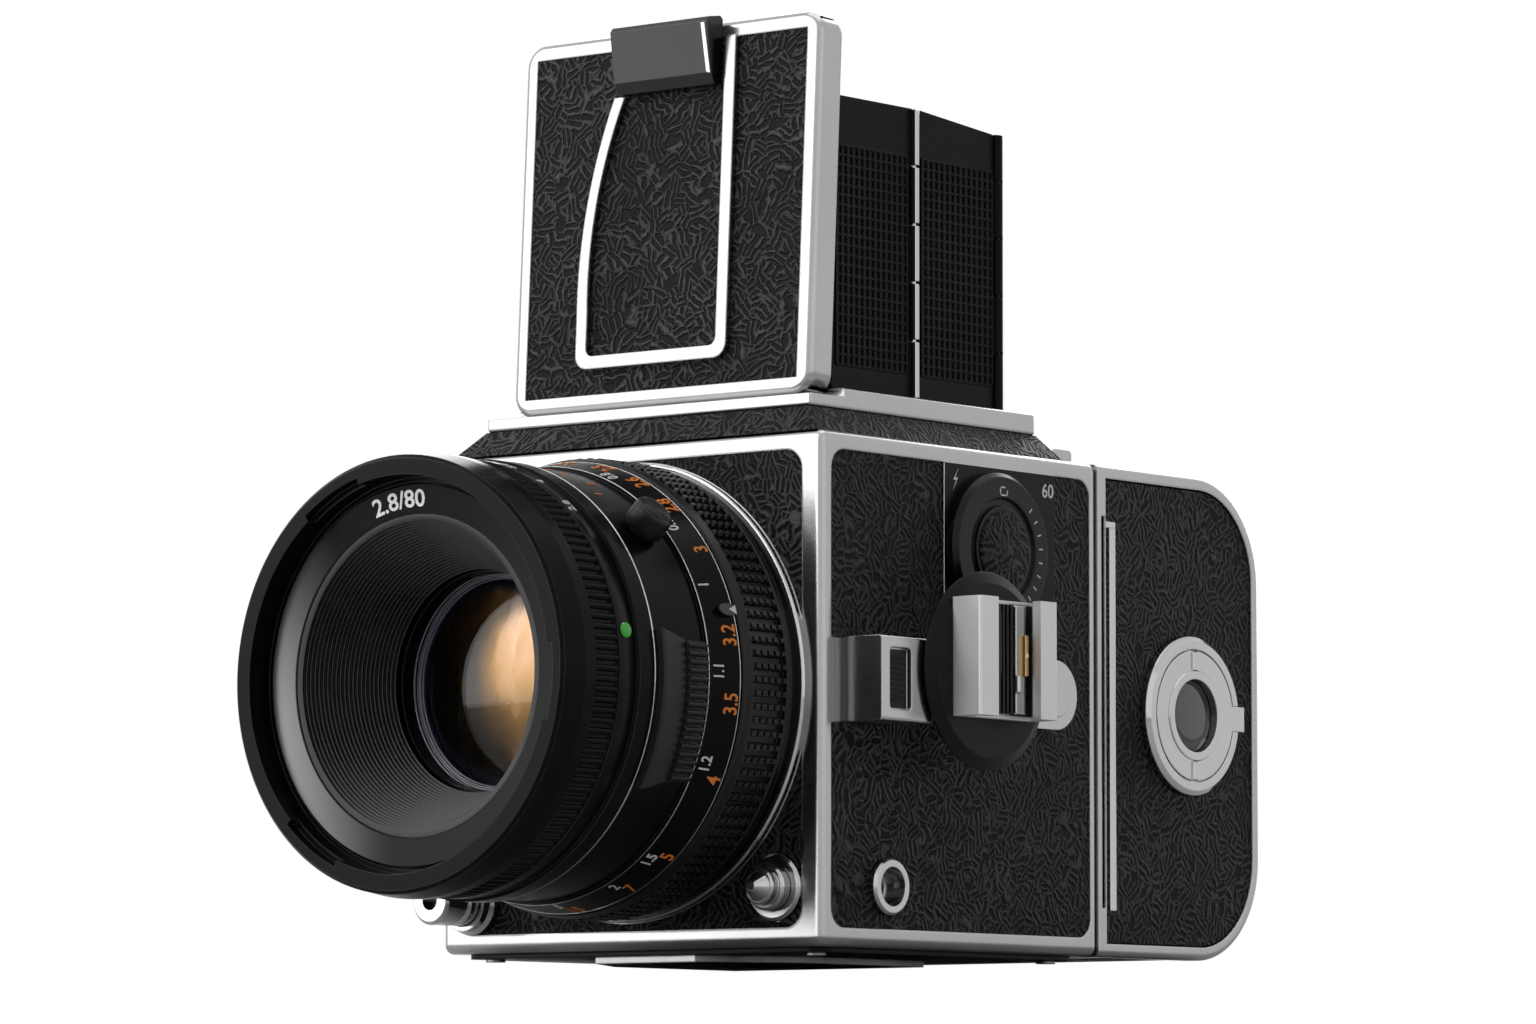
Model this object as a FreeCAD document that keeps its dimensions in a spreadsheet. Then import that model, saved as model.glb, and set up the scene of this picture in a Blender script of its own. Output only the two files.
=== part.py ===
import FreeCAD, Part
import Sketcher
import math
import os
import re

# Medium format film camera: body, folding hood finder, lens and film magazine.
# Millimetres. +Z is up, the lens looks along -Y and the accessory rail is on the +X side.
# The origin is the middle of the tripod socket, in the bottom face of the foot.

Vector = FreeCAD.Vector
Rotation = FreeCAD.Rotation

DIMENSIONS = (
    # Clearances
    ("fit_gap", 0.1),
    ("part_gap", 0.3),
    ("hinge_gap", 0.05),
    # Camera body
    ("foot_height", 2.0),
    ("body_width", 84.0),
    ("body_depth", 77.0),
    ("body_height", 86.0),
    ("body_wall", 3.0),
    ("body_edge", 1.6),
    ("lens_axis_height", 45.6),
    ("trim_side", 4.4),
    ("trim_front", 2.3),
    ("trim_top", 3.1),
    ("trim_bottom", 3.2),
    ("trim_rear", 2.2),
    ("panel_corner", 3.4),
    ("panel_recess", 1.0),
    ("leather_thickness", 0.8),
    ("rear_bar_depth", 5.7),
    ("rear_bar_height", 2.4),
    ("film_gate", 57.0),
    # Base plate and tripod foot
    ("base_plate_thickness", 0.8),
    ("base_plate_margin", 2.6),
    ("foot_front", 34.0),
    ("foot_back", 16.0),
    ("foot_nose_width", 22.0),
    ("foot_width", 42.0),
    ("foot_shoulder", 17.0),
    ("socket_radius", 4.76),
    ("socket_depth", 8.0),
    ("socket_boss_radius", 8.0),
    ("socket_floor", 1.5),
    # Lens mount of the body
    ("throat_radius", 32.0),
    ("mount_radius", 39.0),
    ("mount_bore_radius", 30.5),
    ("mount_thickness", 1.3),
    # Mirror chamber, screen and mirror
    ("chamber_half_width", 31.2),
    ("chamber_wall", 1.5),
    ("chamber_floor_height", 13.0),
    ("chamber_notch_depth", 8.0),
    ("screen_width", 65.0),
    ("screen_depth", 59.0),
    ("screen_thickness", 1.8),
    ("mirror_pivot_back", 30.4),
    ("mirror_pivot_drop", 5.5),
    ("mirror_length", 62.0),
    ("mirror_half_width", 29.8),
    ("mirror_carrier_thickness", 1.4),
    ("mirror_glass_thickness", 1.5),
    ("mirror_pin_radius", 1.1),
    ("mirror_rest_angle", 45.0),
    ("flap_pivot_back", 34.3),
    ("flap_pivot_top", 74.2),
    ("flap_pivot_bottom", 17.0),
    ("flap_thickness", 1.0),
    ("flap_pin_radius", 0.7),
    # Front buttons
    ("release_offset", 34.6),
    ("release_height", 10.8),
    ("release_radius", 4.1),
    ("release_length", 11.5),
    ("release_collar_radius", 5.6),
    ("cable_socket_radius", 1.6),
    ("cable_socket_depth", 7.0),
    ("unlock_offset", 32.1),
    ("unlock_height", 11.9),
    ("unlock_radius", 3.9),
    ("unlock_length", 6.6),
    ("unlock_collar_radius", 5.6),
    # Flash cable socket
    ("flash_back", -21.0),
    ("flash_height", 12.3),
    ("flash_bore_radius", 3.3),
    ("flash_barrel_radius", 4.1),
    ("flash_flange_radius", 4.8),
    ("flash_depth", 6.0),
    ("flash_bore_length", 4.2),
    ("flash_step", 0.4),
    # Accessory rail and shoe
    ("rail_front", -33.8),
    ("rail_block_length", 13.5),
    ("rail_block_height", 14.2),
    ("rail_block_reach", 8.8),
    ("rail_reach", 4.5),
    ("rail_height", 12.0),
    ("rail_level", 46.4),
    ("rail_end", 20.3),
    ("rail_rivet_radius", 3.8),
    ("shoe_middle", -6.4),
    ("shoe_level", 48.8),
    ("shoe_disc_radius", 16.8),
    ("shoe_disc_thickness", 1.8),
    ("shoe_hub_radius", 5.0),
    ("shoe_width", 21.4),
    ("shoe_length", 20.0),
    ("shoe_base", 1.6),
    ("shoe_wall", 2.0),
    ("shoe_slot_height", 2.6),
    ("shoe_lip", 4.8),
    ("shoe_lip_thickness", 1.8),
    # Film speed dial
    ("dial_middle", 8.4),
    ("dial_level", 70.6),
    ("dial_radius", 13.4),
    ("dial_thickness", 2.2),
    ("dial_inset_radius", 7.6),
    ("dial_axle_radius", 3.0),
    ("dial_plate_front", -5.4),
    ("dial_plate_back", 26.0),
    ("dial_plate_bottom", 56.0),
    # Winding crank
    ("crank_middle", 4.0),
    ("crank_level", 40.0),
    ("crank_radius", 14.5),
    ("crank_depth", 9.0),
    ("crank_wall", 1.5),
    ("crank_floor", 2.0),
    ("crank_arm_thickness", 2.0),
    ("crank_arm_width", 8.0),
    ("crank_handle_reach", 23.5),
    ("crank_handle_radius", 3.4),
    ("crank_handle_length", 6.2),
    ("drive_shaft_radius", 3.0),
    ("drive_gear_radius", 8.0),
    ("lever_back", 25.0),
    ("lever_level", 20.0),
    ("lever_hub_radius", 4.5),
    ("lever_length", 13.0),
    ("lever_thickness", 2.4),
    # Finder base and hood
    ("finder_foot_half_width", 40.2),
    ("finder_half_width", 36.0),
    ("finder_foot_front", 38.0),
    ("finder_front", 34.2),
    ("finder_foot_back", 31.0),
    ("finder_back", 28.6),
    ("well_rim_side", 8.0),
    ("well_rim_front", 6.2),
    ("well_rim_back", 4.1),
    ("finder_band_height", 4.5),
    ("finder_plate_thickness", 3.8),
    ("lid_shelf", 1.6),
    ("hood_half_width", 30.4),
    ("hood_front", 22.6),
    ("leaf_length", 23.8),
    ("leaf_thickness", 0.8),
    ("leaf_bottom_gap", 0.6),
    ("leaf_height", 50.4),
    ("leaf_slope", 2.2),
    ("knuckle_radius", 1.0),
    ("knuckle_count", 5),
    ("knuckle_space", 0.5),
    ("hood_pin_radius", 0.4),
    ("lid_half_width", 33.2),
    ("lid_front", 31.0),
    ("lid_height", 66.0),
    ("lid_depth", 5.6),
    ("lid_lean", 2.9),
    ("lid_corner", 4.2),
    ("lid_bead", 1.6),
    ("lid_rim", 1.0),
    ("lid_plate_thickness", 1.3),
    ("lid_border", 3.0),
    ("lid_recess", 0.7),
    ("lid_leather", 0.5),
    ("shield_left", 18.2),
    ("shield_right", 15.2),
    ("shield_bottom", 7.4),
    ("shield_bar", 3.2),
    ("shield_leg", 2.2),
    ("shield_top", 54.5),
    ("shield_top_left", 11.4),
    ("shield_proud", 1.0),
    ("latch_left", 10.0),
    ("latch_right", 11.6),
    ("latch_bottom", 54.7),
    ("latch_height", 12.0),
    ("latch_travel", 3.0),
    ("latch_reach", 4.4),
    ("latch_slant", 1.5),
    ("magnifier_width", 44.0),
    ("magnifier_length", 43.0),
    ("magnifier_thickness", 0.9),
    ("magnifier_radius", 17.0),
    ("magnifier_pivot_drop", 12.0),
    ("magnifier_pin_radius", 0.7),
    ("magnifier_stand", 1.5),
    ("lining_thickness", 0.5),
    ("ear_radius", 1.3),
    ("ear_width", 2.0),
    # Lens
    ("barrel_radius", 38.3),
    ("barrel_flange", 1.9),
    ("barrel_guide_radius", 35.0),
    ("barrel_guide_wall", 1.4),
    ("barrel_tail_radius", 30.2),
    ("barrel_tail_length", 2.6),
    ("barrel_tail_wall", 3.0),
    ("focus_radius", 38.1),
    ("focus_tooth", 0.9),
    ("focus_tooth_count", 72),
    ("focus_length", 12.5),
    ("head_radius", 33.5),
    ("head_wall", 2.0),
    ("head_rear_radius", 17.5),
    ("head_rear_wall", 2.4),
    ("head_rear_reach", 6.2),
    ("shutter_wall", 3.0),
    ("shutter_station", 14.0),
    ("cell_station", 27.0),
    ("cell_length", 10.0),
    ("cell_radius", 20.4),
    ("cell_wall", 2.2),
    ("scale_length", 7.2),
    ("scale_radius", 37.9),
    ("scale_front_radius", 36.6),
    ("sleeve_length", 12.8),
    ("sleeve_radius", 36.0),
    ("shutter_ring_length", 4.7),
    ("shutter_ring_radius", 36.5),
    ("aperture_length", 10.2),
    ("aperture_plain_length", 4.3),
    ("aperture_radius", 35.9),
    ("aperture_tooth", 0.5),
    ("aperture_tooth_count", 110),
    ("bezel_length", 7.8),
    ("bezel_radius", 36.5),
    ("bezel_taper", 0.6),
    ("bezel_bore_radius", 32.6),
    ("bezel_depth", 5.0),
    ("bezel_step", 0.9),
    ("name_ring_radius", 31.4),
    ("name_ring_inner", 26.6),
    ("name_groove_depth", 1.2),
    ("notch_depth", 1.1),
    ("notch_length", 2.0),
    ("notch_angle", 22.0),
    ("baffle_steps", 12),
    ("baffle_depth", 16.0),
    ("baffle_inner", 19.2),
    ("baffle_wall", 1.2),
    ("glass_thickness", 5.0),
    ("glass_dome", 2.4),
    ("rear_glass_thickness", 3.0),
    ("iris_opening", 7.0),
    ("iris_thickness", 0.4),
    ("iris_blade_count", 5),
    ("sync_angle", 42.0),
    ("sync_station", 29.0),
    ("sync_socket_radius", 2.3),
    ("sync_cap_radius", 3.6),
    ("sync_cap_height", 4.2),
    ("tab_bottom_angle", -27.0),
    ("tab_top_angle", 8.0),
    ("tab_height", 2.1),
    ("tab_rear_height", 3.0),
    ("tab_set_back", 2.4),
    ("tab_rear_length", 4.6),
    # Film magazine
    ("magazine_gap", 0.2),
    ("magazine_depth", 49.0),
    ("magazine_corner", 18.5),
    ("magazine_edge", 1.1),
    ("magazine_wall", 2.5),
    ("magazine_front_wall", 4.0),
    ("magazine_rim", 2.3),
    ("hook_radius", 1.2),
    ("hook_length", 8.0),
    ("hook_offset", 22.0),
    ("hook_rise", 1.4),
    ("dark_slide_slot", 1.1),
    ("dark_slide_bottom", 10.5),
    ("dark_slide_top", 79.0),
    ("insert_plate", 2.0),
    ("insert_sink", 0.9),
    ("insert_cheek", 1.5),
    ("insert_inner_end", 33.0),
    ("spool_back", 66.0),
    ("spool_low", 27.0),
    ("spool_high", 64.5),
    ("spool_flange_radius", 12.3),
    ("spool_flange", 1.0),
    ("spool_core_radius", 5.2),
    ("film_roll_radius", 9.6),
    ("gudgeon_radius", 2.0),
    ("gudgeon_length", 3.0),
    ("key_back", 65.6),
    ("key_level", 45.2),
    ("key_radius", 14.1),
    ("key_window_radius", 6.5),
    ("key_flange", 2.4),
    ("key_disc_radius", 11.5),
    ("key_plate", 1.0),
    ("key_tab_reach", 15.0),
    ("key_tab_width", 4.4),
    ("magazine_crank_radius", 12.0),
    ("magazine_crank_depth", 3.0),
    ("catch_width", 16.0),
    ("catch_depth", 6.0),
    ("catch_height", 2.2),
    ("catch_travel", 4.0),
    # Screws
    ("screw_head_radius", 1.7),
    ("screw_head_height", 0.5),
    ("screw_shank_radius", 0.9),
    ("screw_length", 3.0),
)

VALUES = dict(DIMENSIONS)

# Planes and stations, as formulas of the sheet's values
SIDE = "(body_width / 2)"
FRONT = "(-body_depth / 2)"
BACK = "(body_depth / 2)"
BOTTOM = "foot_height"
TOP = "(foot_height + body_height)"
AXIS = "lens_axis_height"
MAGAZINE_FRONT = "(body_depth / 2 + magazine_gap)"
MAGAZINE_BACK = "(body_depth / 2 + magazine_gap + magazine_depth)"
CHAMBER_TOP = "(foot_height + body_height - body_wall - 2 * fit_gap - screen_thickness)"
MIRROR_PIVOT = "(foot_height + body_height - body_wall - 2 * fit_gap - screen_thickness - mirror_pivot_drop)"
WELL_SIDE = "(finder_half_width - well_rim_side)"
WELL_FRONT = "(well_rim_front - finder_front)"
WELL_BACK = "(finder_back - well_rim_back)"
WELL_MIDDLE = "((well_rim_front - finder_front + finder_back - well_rim_back) / 2)"
FINDER_PLATE = "(foot_height + body_height + finder_band_height)"
FINDER_TOP = "(foot_height + body_height + finder_band_height + finder_plate_thickness)"
LID_SHELF = "(foot_height + body_height + finder_band_height + finder_plate_thickness - lid_shelf)"
FOCUS_REAR = "(mount_thickness + barrel_flange + fit_gap)"
FOCUS_FRONT = "(" + FOCUS_REAR + " + focus_length)"
SCALE_REAR = "(" + FOCUS_FRONT + " + fit_gap)"
SLEEVE_REAR = "(" + SCALE_REAR + " + scale_length)"
SHUTTER_REAR = "(" + SLEEVE_REAR + " + sleeve_length + fit_gap)"
APERTURE_REAR = "(" + SHUTTER_REAR + " + shutter_ring_length + fit_gap)"
BEZEL_REAR = "(" + APERTURE_REAR + " + aperture_length + fit_gap)"
BEZEL_FRONT = "(" + BEZEL_REAR + " + bezel_length)"
NAME_FACE = "(" + BEZEL_FRONT + " - bezel_depth)"

doc = FreeCAD.newDocument("FilmCamera")
sheet = doc.addObject("Spreadsheet::Sheet", "Dimensions")
for row, (alias, value) in enumerate(DIMENSIONS, 1):
    sheet.set("A%d" % row, alias)
    sheet.set("B%d" % row, str(value))
    sheet.setAlias("B%d" % row, alias)
probe = doc.addObject("Part::Vertex", "Probe")
doc.recompute()

subparts = []


# Helpers: formulas, places and primitives

def bound(formula):
    """Turn a formula of plain aliases into an expression on the sheet."""
    def name(match):
        word = match.group(0)
        return "Dimensions." + word if word in VALUES else word
    return re.sub(r"[a-z_]+", name, str(formula))


def number(formula):
    """Work out a formula with the values of the sheet."""
    probe.setExpression("X", bound(formula))
    probe.recompute()
    return probe.X.Value


def place(item, corner, turn=None):
    """Turn an object and bind its position to formulas."""
    if turn is not None:
        item.Placement = FreeCAD.Placement(Vector(), turn)
    for letter, formula in zip("xyz", corner):
        item.setExpression("Placement.Base." + letter, bound(formula))
    return item


def block(x, y, z):
    """Make a box between two formulas on each axis."""
    item = doc.addObject("Part::Box", "Block")
    for side, (low, high) in zip(("Length", "Width", "Height"), (x, y, z)):
        item.setExpression(side, bound("(%s) - (%s)" % (high, low)))
    return place(item, (x[0], y[0], z[0]))


def across(half):
    """Give the two ends of a width that is even about the middle plane."""
    return "-(%s)" % half, half


ROD_TURNS = {
    "+X": Rotation(Vector(0, 1, 0), 90),
    "-X": Rotation(Vector(0, 1, 0), -90),
    "+Y": Rotation(Vector(1, 0, 0), -90),
    "-Y": Rotation(Vector(1, 0, 0), 90),
    "+Z": Rotation(),
}

TURNED_TURNS = {
    "+X": Rotation(),
    "-X": Rotation(Vector(0, 0, 1), 180),
    "-Y": Rotation(Vector(0, 0, 1), -90),
    "+Z": Rotation(Vector(0, 1, 0), -90),
}

PRISM_TURNS = {
    "+X": Rotation(Vector(1, 1, 1), 120),
    "-Y": Rotation(Vector(1, 0, 0), 90),
    "+Z": Rotation(),
}


def rod(direction, start, radius, length):
    """Make a cylinder from a start point along a direction."""
    item = doc.addObject("Part::Cylinder", "Rod")
    item.setExpression("Radius", bound(radius))
    item.setExpression("Height", bound(length))
    return place(item, start, ROD_TURNS[direction])


def tube(direction, start, outer, inner, length):
    """Make a ring or a tube."""
    return cut(rod(direction, start, outer, length), rod(direction, start, inner, length))


def cut(base, *tools):
    """Take each tool away from a base."""
    for tool in tools:
        item = doc.addObject("Part::Cut", "Cut")
        item.Base = base
        item.Tool = tool
        base = item
    return base


def fuse(*shapes):
    """Join shapes into one solid."""
    item = doc.addObject("Part::MultiFuse", "Fuse")
    item.Shapes = list(shapes)
    item.Refine = True
    return item


def group(*shapes):
    """Keep separate solids together in one sub-part."""
    item = doc.addObject("Part::Compound", "Group")
    item.Links = list(shapes)
    return item


def common(first, second):
    """Keep what two shapes share."""
    item = doc.addObject("Part::Common", "Common")
    item.Base = first
    item.Tool = second
    return item


def rounded(base, radius, wanted=None):
    """Round the edges of a base that a test picks, or all of them."""
    doc.recompute()
    size = number(radius)
    item = doc.addObject("Part::Fillet", "Rounded")
    item.Base = base
    item.Edges = [
        (index, size, size)
        for index, edge in enumerate(base.Shape.Edges, 1)
        if wanted is None or wanted(edge)
    ]
    return item


def parallel(axis, test=None):
    """Make a test for straight edges along an axis, with an optional test of their middle."""
    direction = {"X": Vector(1, 0, 0), "Y": Vector(0, 1, 0), "Z": Vector(0, 0, 1)}[axis]

    def wanted(edge):
        ends = [vertex.Point for vertex in edge.Vertexes]
        if len(ends) != 2:
            return False
        run = ends[1] - ends[0]
        straight = run.Length > 0 and abs(abs(run.dot(direction)) - run.Length) < 1e-6
        return straight and (test is None or test(edge.CenterOfMass))
    return wanted


def outline(body, points):
    """Draw a closed outline in a body's XY plane with every corner bound to the sheet."""
    sketch = body.newObject("Sketcher::SketchObject", "Outline")
    plane = next(item for item in body.Origin.OriginFeatures if item.Role == "XY_Plane")
    sketch.AttachmentSupport = [(plane, "")]
    sketch.MapMode = "FlatFace"
    corners = [Vector(number(first), number(second), 0) for first, second in points]
    count = len(corners)
    sketch.addGeometry(
        [Part.LineSegment(corners[i], corners[(i + 1) % count]) for i in range(count)]
    )
    links = [Sketcher.Constraint("Coincident", i, 2, (i + 1) % count, 1) for i in range(count)]
    for i, corner in enumerate(corners):
        links.append(Sketcher.Constraint("DistanceX", -1, 1, i, 1, corner.x))
        links.append(Sketcher.Constraint("DistanceY", -1, 1, i, 1, corner.y))
    sketch.addConstraint(links)
    for i, (first, second) in enumerate(points):
        sketch.setExpression("Constraints[%d]" % (count + 2 * i), bound(first))
        sketch.setExpression("Constraints[%d]" % (count + 2 * i + 1), bound(second))
    return sketch


def turned(direction, origin, points):
    """Turn an outline of (distance along the axis, radius) points about an axis."""
    body = doc.addObject("PartDesign::Body", "Turned")
    sketch = outline(body, points)
    item = body.newObject("PartDesign::Revolution", "Revolution")
    item.Profile = sketch
    item.ReferenceAxis = (sketch, ["H_Axis"])
    item.Angle = 360
    return place(body, origin, TURNED_TURNS[direction])


def prism(direction, origin, points, length):
    """Pad an outline along a direction."""
    body = doc.addObject("PartDesign::Body", "Prism")
    sketch = outline(body, points)
    item = body.newObject("PartDesign::Pad", "Pad")
    item.Profile = sketch
    item.setExpression("Length", bound(length))
    return place(body, origin, PRISM_TURNS[direction])


def feature(shape, origin, turn=None):
    """Hold a shape that is made with Part's own functions."""
    item = doc.addObject("Part::Feature", "Shape")
    item.Shape = shape
    return place(item, origin, turn)


def toothed_ring(inner, root, tip, length, count):
    """Make a ring with straight teeth round it, along -Y from the origin."""
    pitch = 2 * math.pi / count
    steps = ((0.0, root), (0.3, root), (0.42, tip), (0.88, tip))
    points = []
    for tooth in range(count):
        for share, radius in steps:
            angle = (tooth + share) * pitch
            points.append(Vector(radius * math.cos(angle), 0, radius * math.sin(angle)))
    rim = Part.Wire(Part.makePolygon(points + points[:1]))
    bore = Part.Wire(Part.makeCircle(inner, Vector(), Vector(0, 1, 0)))
    return Part.Face(rim).extrude(Vector(0, -length, 0)).cut(
        Part.Face(bore).extrude(Vector(0, -length, 0))
    )


def keep(item, label):
    """Name a finished sub-part."""
    item.Label = label
    subparts.append(item)
    return item


# Camera body

def side_panel(side, depth, thickness, gap):
    """Make the block of a side panel, on the +X side (1) or the -X side (-1)."""
    outer = "(%s - (%s))" % (SIDE, depth)
    inner = "(%s - (%s))" % (outer, thickness)
    width = (inner, outer) if side > 0 else ("-" + outer, "-" + inner)
    panel = block(
        width,
        (FRONT + " + trim_front + " + gap, BACK + " - trim_rear - " + gap),
        (BOTTOM + " + trim_bottom + " + gap, TOP + " - trim_top - " + gap),
    )
    return rounded(panel, "panel_corner", parallel("X"))


def front_panel(depth, thickness, gap):
    """Make the block of the front panel."""
    panel = block(
        across("%s - trim_side - %s" % (SIDE, gap)),
        (FRONT + " + " + depth, FRONT + " + " + depth + " + " + thickness),
        (BOTTOM + " + trim_bottom + " + gap, TOP + " - trim_top - " + gap),
    )
    return rounded(panel, "panel_corner", parallel("Y"))


def front_hole(offset, height, radius):
    """Make a tool that bores through the front wall."""
    return rod("+Y", (offset, FRONT + " - body_wall", height), radius, "3 * body_wall")


RELEASE = ("-release_offset", "release_height")
UNLOCK = ("unlock_offset", "unlock_height")
FLASH = ("flash_back", "flash_height")
DIAL = ("dial_middle", "dial_level")
CRANK = ("crank_middle", "crank_level")
LEVER = ("lever_back", "lever_level")


def make_body_casting():
    """Cast the body: a box with walls, a lens throat, a film gate and a screen opening."""
    outer = rounded(block(across(SIDE), (FRONT, BACK), (BOTTOM, TOP)), "body_edge")
    bar = rounded(
        block(
            across(SIDE + " - trim_side"),
            (BACK + " - rear_bar_depth - body_edge", BACK + " - body_edge"),
            (TOP + " - body_edge", TOP + " + rear_bar_height"),
        ),
        "body_edge / 2",
        parallel("X", lambda middle: middle.z > number(TOP)),
    )
    cavity = block(
        across(SIDE + " - body_wall"),
        (FRONT + " + body_wall", BACK + " - body_wall"),
        (BOTTOM + " + body_wall", TOP + " - body_wall"),
    )
    gate = block(
        across("film_gate / 2"),
        (BACK + " - 2 * body_wall", BACK + " + body_wall"),
        (AXIS + " - film_gate / 2", AXIS + " + film_gate / 2"),
    )
    window = block(
        across(WELL_SIDE),
        (WELL_FRONT, WELL_BACK),
        (TOP + " - 2 * body_wall", TOP + " + body_wall"),
    )
    seat = rod("+Y", ("0", FRONT, AXIS), "mount_radius + fit_gap", "panel_recess")
    front = cut(front_panel("0", "panel_recess", "0"), seat)
    socket = rod("+Z", ("0", "0", "0"), "socket_boss_radius + fit_gap", "3 * body_wall + foot_height")
    seats = [
        rod("+Y", (offset, FRONT, height), radius + " + hinge_gap", "panel_recess")
        for offset, height, radius in (
            (*RELEASE, "release_collar_radius"),
            (*UNLOCK, "unlock_collar_radius"),
        )
    ]
    holes = (
        rod("+Y", ("0", FRONT + " - body_wall", AXIS), "throat_radius", "3 * body_wall"),
        front_hole(*RELEASE, "release_radius + fit_gap"),
        front_hole(*UNLOCK, "unlock_radius + fit_gap"),
        rod("+X", (SIDE + " - 2 * body_wall", *FLASH), "flash_barrel_radius", "3 * body_wall"),
        rod("+X", (SIDE + " - 2 * body_wall", *DIAL), "dial_axle_radius + fit_gap", "3 * body_wall"),
        rod("-X", ("2 * body_wall - " + SIDE, *CRANK), "drive_shaft_radius + fit_gap", "3 * body_wall"),
        rod("-X", ("2 * body_wall - " + SIDE, *LEVER), "drive_shaft_radius + fit_gap", "3 * body_wall"),
        socket,
    )
    plate = block(
        (SIDE + " - panel_recess", SIDE),
        ("dial_plate_front", "dial_plate_back"),
        ("dial_plate_bottom", TOP),
    )
    right = cut(side_panel(1, "0", "panel_recess", "0"), plate)
    panels = (front, right, side_panel(-1, "0", "panel_recess", "0"))
    rooms = hooks("hook_radius + fit_gap", "fit_gap")
    keep(cut(fuse(outer, bar), cavity, gate, window, *panels, *seats, *rooms, *holes), "body_casting")


def make_body_coverings():
    """Cut the three leather panels of the body round what stands on them."""
    sunk = "panel_recess - leather_thickness"
    front = cut(
        front_panel(sunk, "leather_thickness", "fit_gap"),
        rod("+Y", ("0", FRONT, AXIS), "mount_radius + 2 * fit_gap", "panel_recess"),
        front_hole(*RELEASE, "release_collar_radius + fit_gap"),
        front_hole(*UNLOCK, "unlock_collar_radius + fit_gap"),
    )
    plate = block(
        (SIDE + " - panel_recess", SIDE + " + panel_recess"),
        ("dial_plate_front - fit_gap", "dial_plate_back + fit_gap"),
        ("dial_plate_bottom - fit_gap", TOP),
    )
    rail = block(
        (SIDE + " - panel_recess", SIDE + " + panel_recess"),
        (FRONT, "rail_end"),
        ("rail_level - rail_height / 2 - fit_gap", "rail_level + rail_height / 2 + fit_gap"),
    )
    head = block(
        (SIDE + " - panel_recess", SIDE + " + panel_recess"),
        (FRONT, "rail_front + rail_block_length + fit_gap"),
        ("rail_level - rail_block_height / 2 - fit_gap", "rail_level + rail_block_height / 2 + fit_gap"),
    )
    end = rod(
        "+X", (SIDE + " - panel_recess", "rail_end", "rail_level"), "rail_height / 2 + fit_gap", "panel_recess"
    )
    right = cut(
        side_panel(1, sunk, "leather_thickness", "fit_gap"),
        plate, rail, head, end,
        rod("+X", (SIDE + " - panel_recess", *FLASH), "flash_flange_radius + fit_gap", "panel_recess"),
    )
    left = cut(
        side_panel(-1, sunk, "leather_thickness", "fit_gap"),
        rod("-X", ("panel_recess - " + SIDE, *CRANK), "drive_shaft_radius + fit_gap", "panel_recess"),
        rod("-X", ("panel_recess - " + SIDE, *LEVER), "drive_shaft_radius + fit_gap", "panel_recess"),
    )
    keep(group(front, right, left), "body_coverings")


def make_base():
    """Make the black base plate and the steel tripod foot with its threaded socket."""
    plate = rounded(
        block(
            across(SIDE + " - base_plate_margin"),
            (FRONT + " + base_plate_margin", BACK + " - base_plate_margin"),
            (BOTTOM + " - base_plate_thickness", BOTTOM),
        ),
        "panel_corner",
        parallel("Z"),
    )
    boss = rod("+Z", ("0", "0", "0"), "socket_boss_radius + fit_gap", BOTTOM)
    keep(cut(plate, boss), "base_plate")
    outline_points = (
        ("-foot_nose_width / 2", "-foot_front"),
        ("foot_nose_width / 2", "-foot_front"),
        ("foot_width / 2", "-foot_shoulder"),
        ("foot_width / 2", "foot_back"),
        ("-foot_width / 2", "foot_back"),
        ("-foot_width / 2", "-foot_shoulder"),
    )
    foot = prism("+Z", ("0", "0", "0"), outline_points, BOTTOM + " - base_plate_thickness")
    boss = rod("+Z", ("0", "0", "0"), "socket_boss_radius", "socket_depth + socket_floor")
    keep(
        cut(fuse(foot, boss), rod("+Z", ("0", "0", "0"), "socket_radius", "socket_depth")),
        "tripod_foot",
    )


def make_mount_ring():
    """Turn the bright ring of the body's lens mount."""
    points = (
        ("0", "mount_radius"),
        ("mount_thickness - part_gap", "mount_radius"),
        ("mount_thickness", "mount_radius - part_gap"),
        ("mount_thickness", "mount_bore_radius"),
        ("-body_wall", "mount_bore_radius"),
        ("-body_wall", "throat_radius - fit_gap"),
        ("0", "throat_radius - fit_gap"),
    )
    keep(turned("-Y", ("0", FRONT, AXIS), points), "lens_mount_ring")


def make_mirror_chamber():
    """Make the chamber that carries the mirror, the flaps and the screen."""
    front = FRONT + " + body_wall + part_gap"
    back = BACK + " - body_wall - fit_gap"
    outer = block(
        across("chamber_half_width + chamber_wall"),
        (front, back),
        (BOTTOM + " + body_wall", CHAMBER_TOP),
    )
    inner = block(
        across("chamber_half_width"),
        (FRONT, BACK),
        ("chamber_floor_height + chamber_wall", TOP),
    )
    below = block(across("chamber_half_width"), (FRONT, BACK), (BOTTOM, "chamber_floor_height"))
    notch = block(
        across(SIDE), (FRONT, front + " + chamber_notch_depth"), ("0", "chamber_floor_height + 2 * body_wall")
    )
    pins = [
        rod("+X", ("-" + SIDE, back_place, height), radius + " + hinge_gap", "body_width")
        for back_place, height, radius in (
            ("mirror_pivot_back", MIRROR_PIVOT, "mirror_pin_radius"),
            ("flap_pivot_back", "flap_pivot_top", "flap_pin_radius"),
            ("flap_pivot_back", "flap_pivot_bottom", "flap_pin_radius"),
        )
    ]
    boss = rod("+Z", ("0", "0", "0"), "socket_boss_radius + part_gap", "chamber_floor_height")
    keep(cut(outer, inner, below, notch, boss, *pins), "mirror_chamber")


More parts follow.
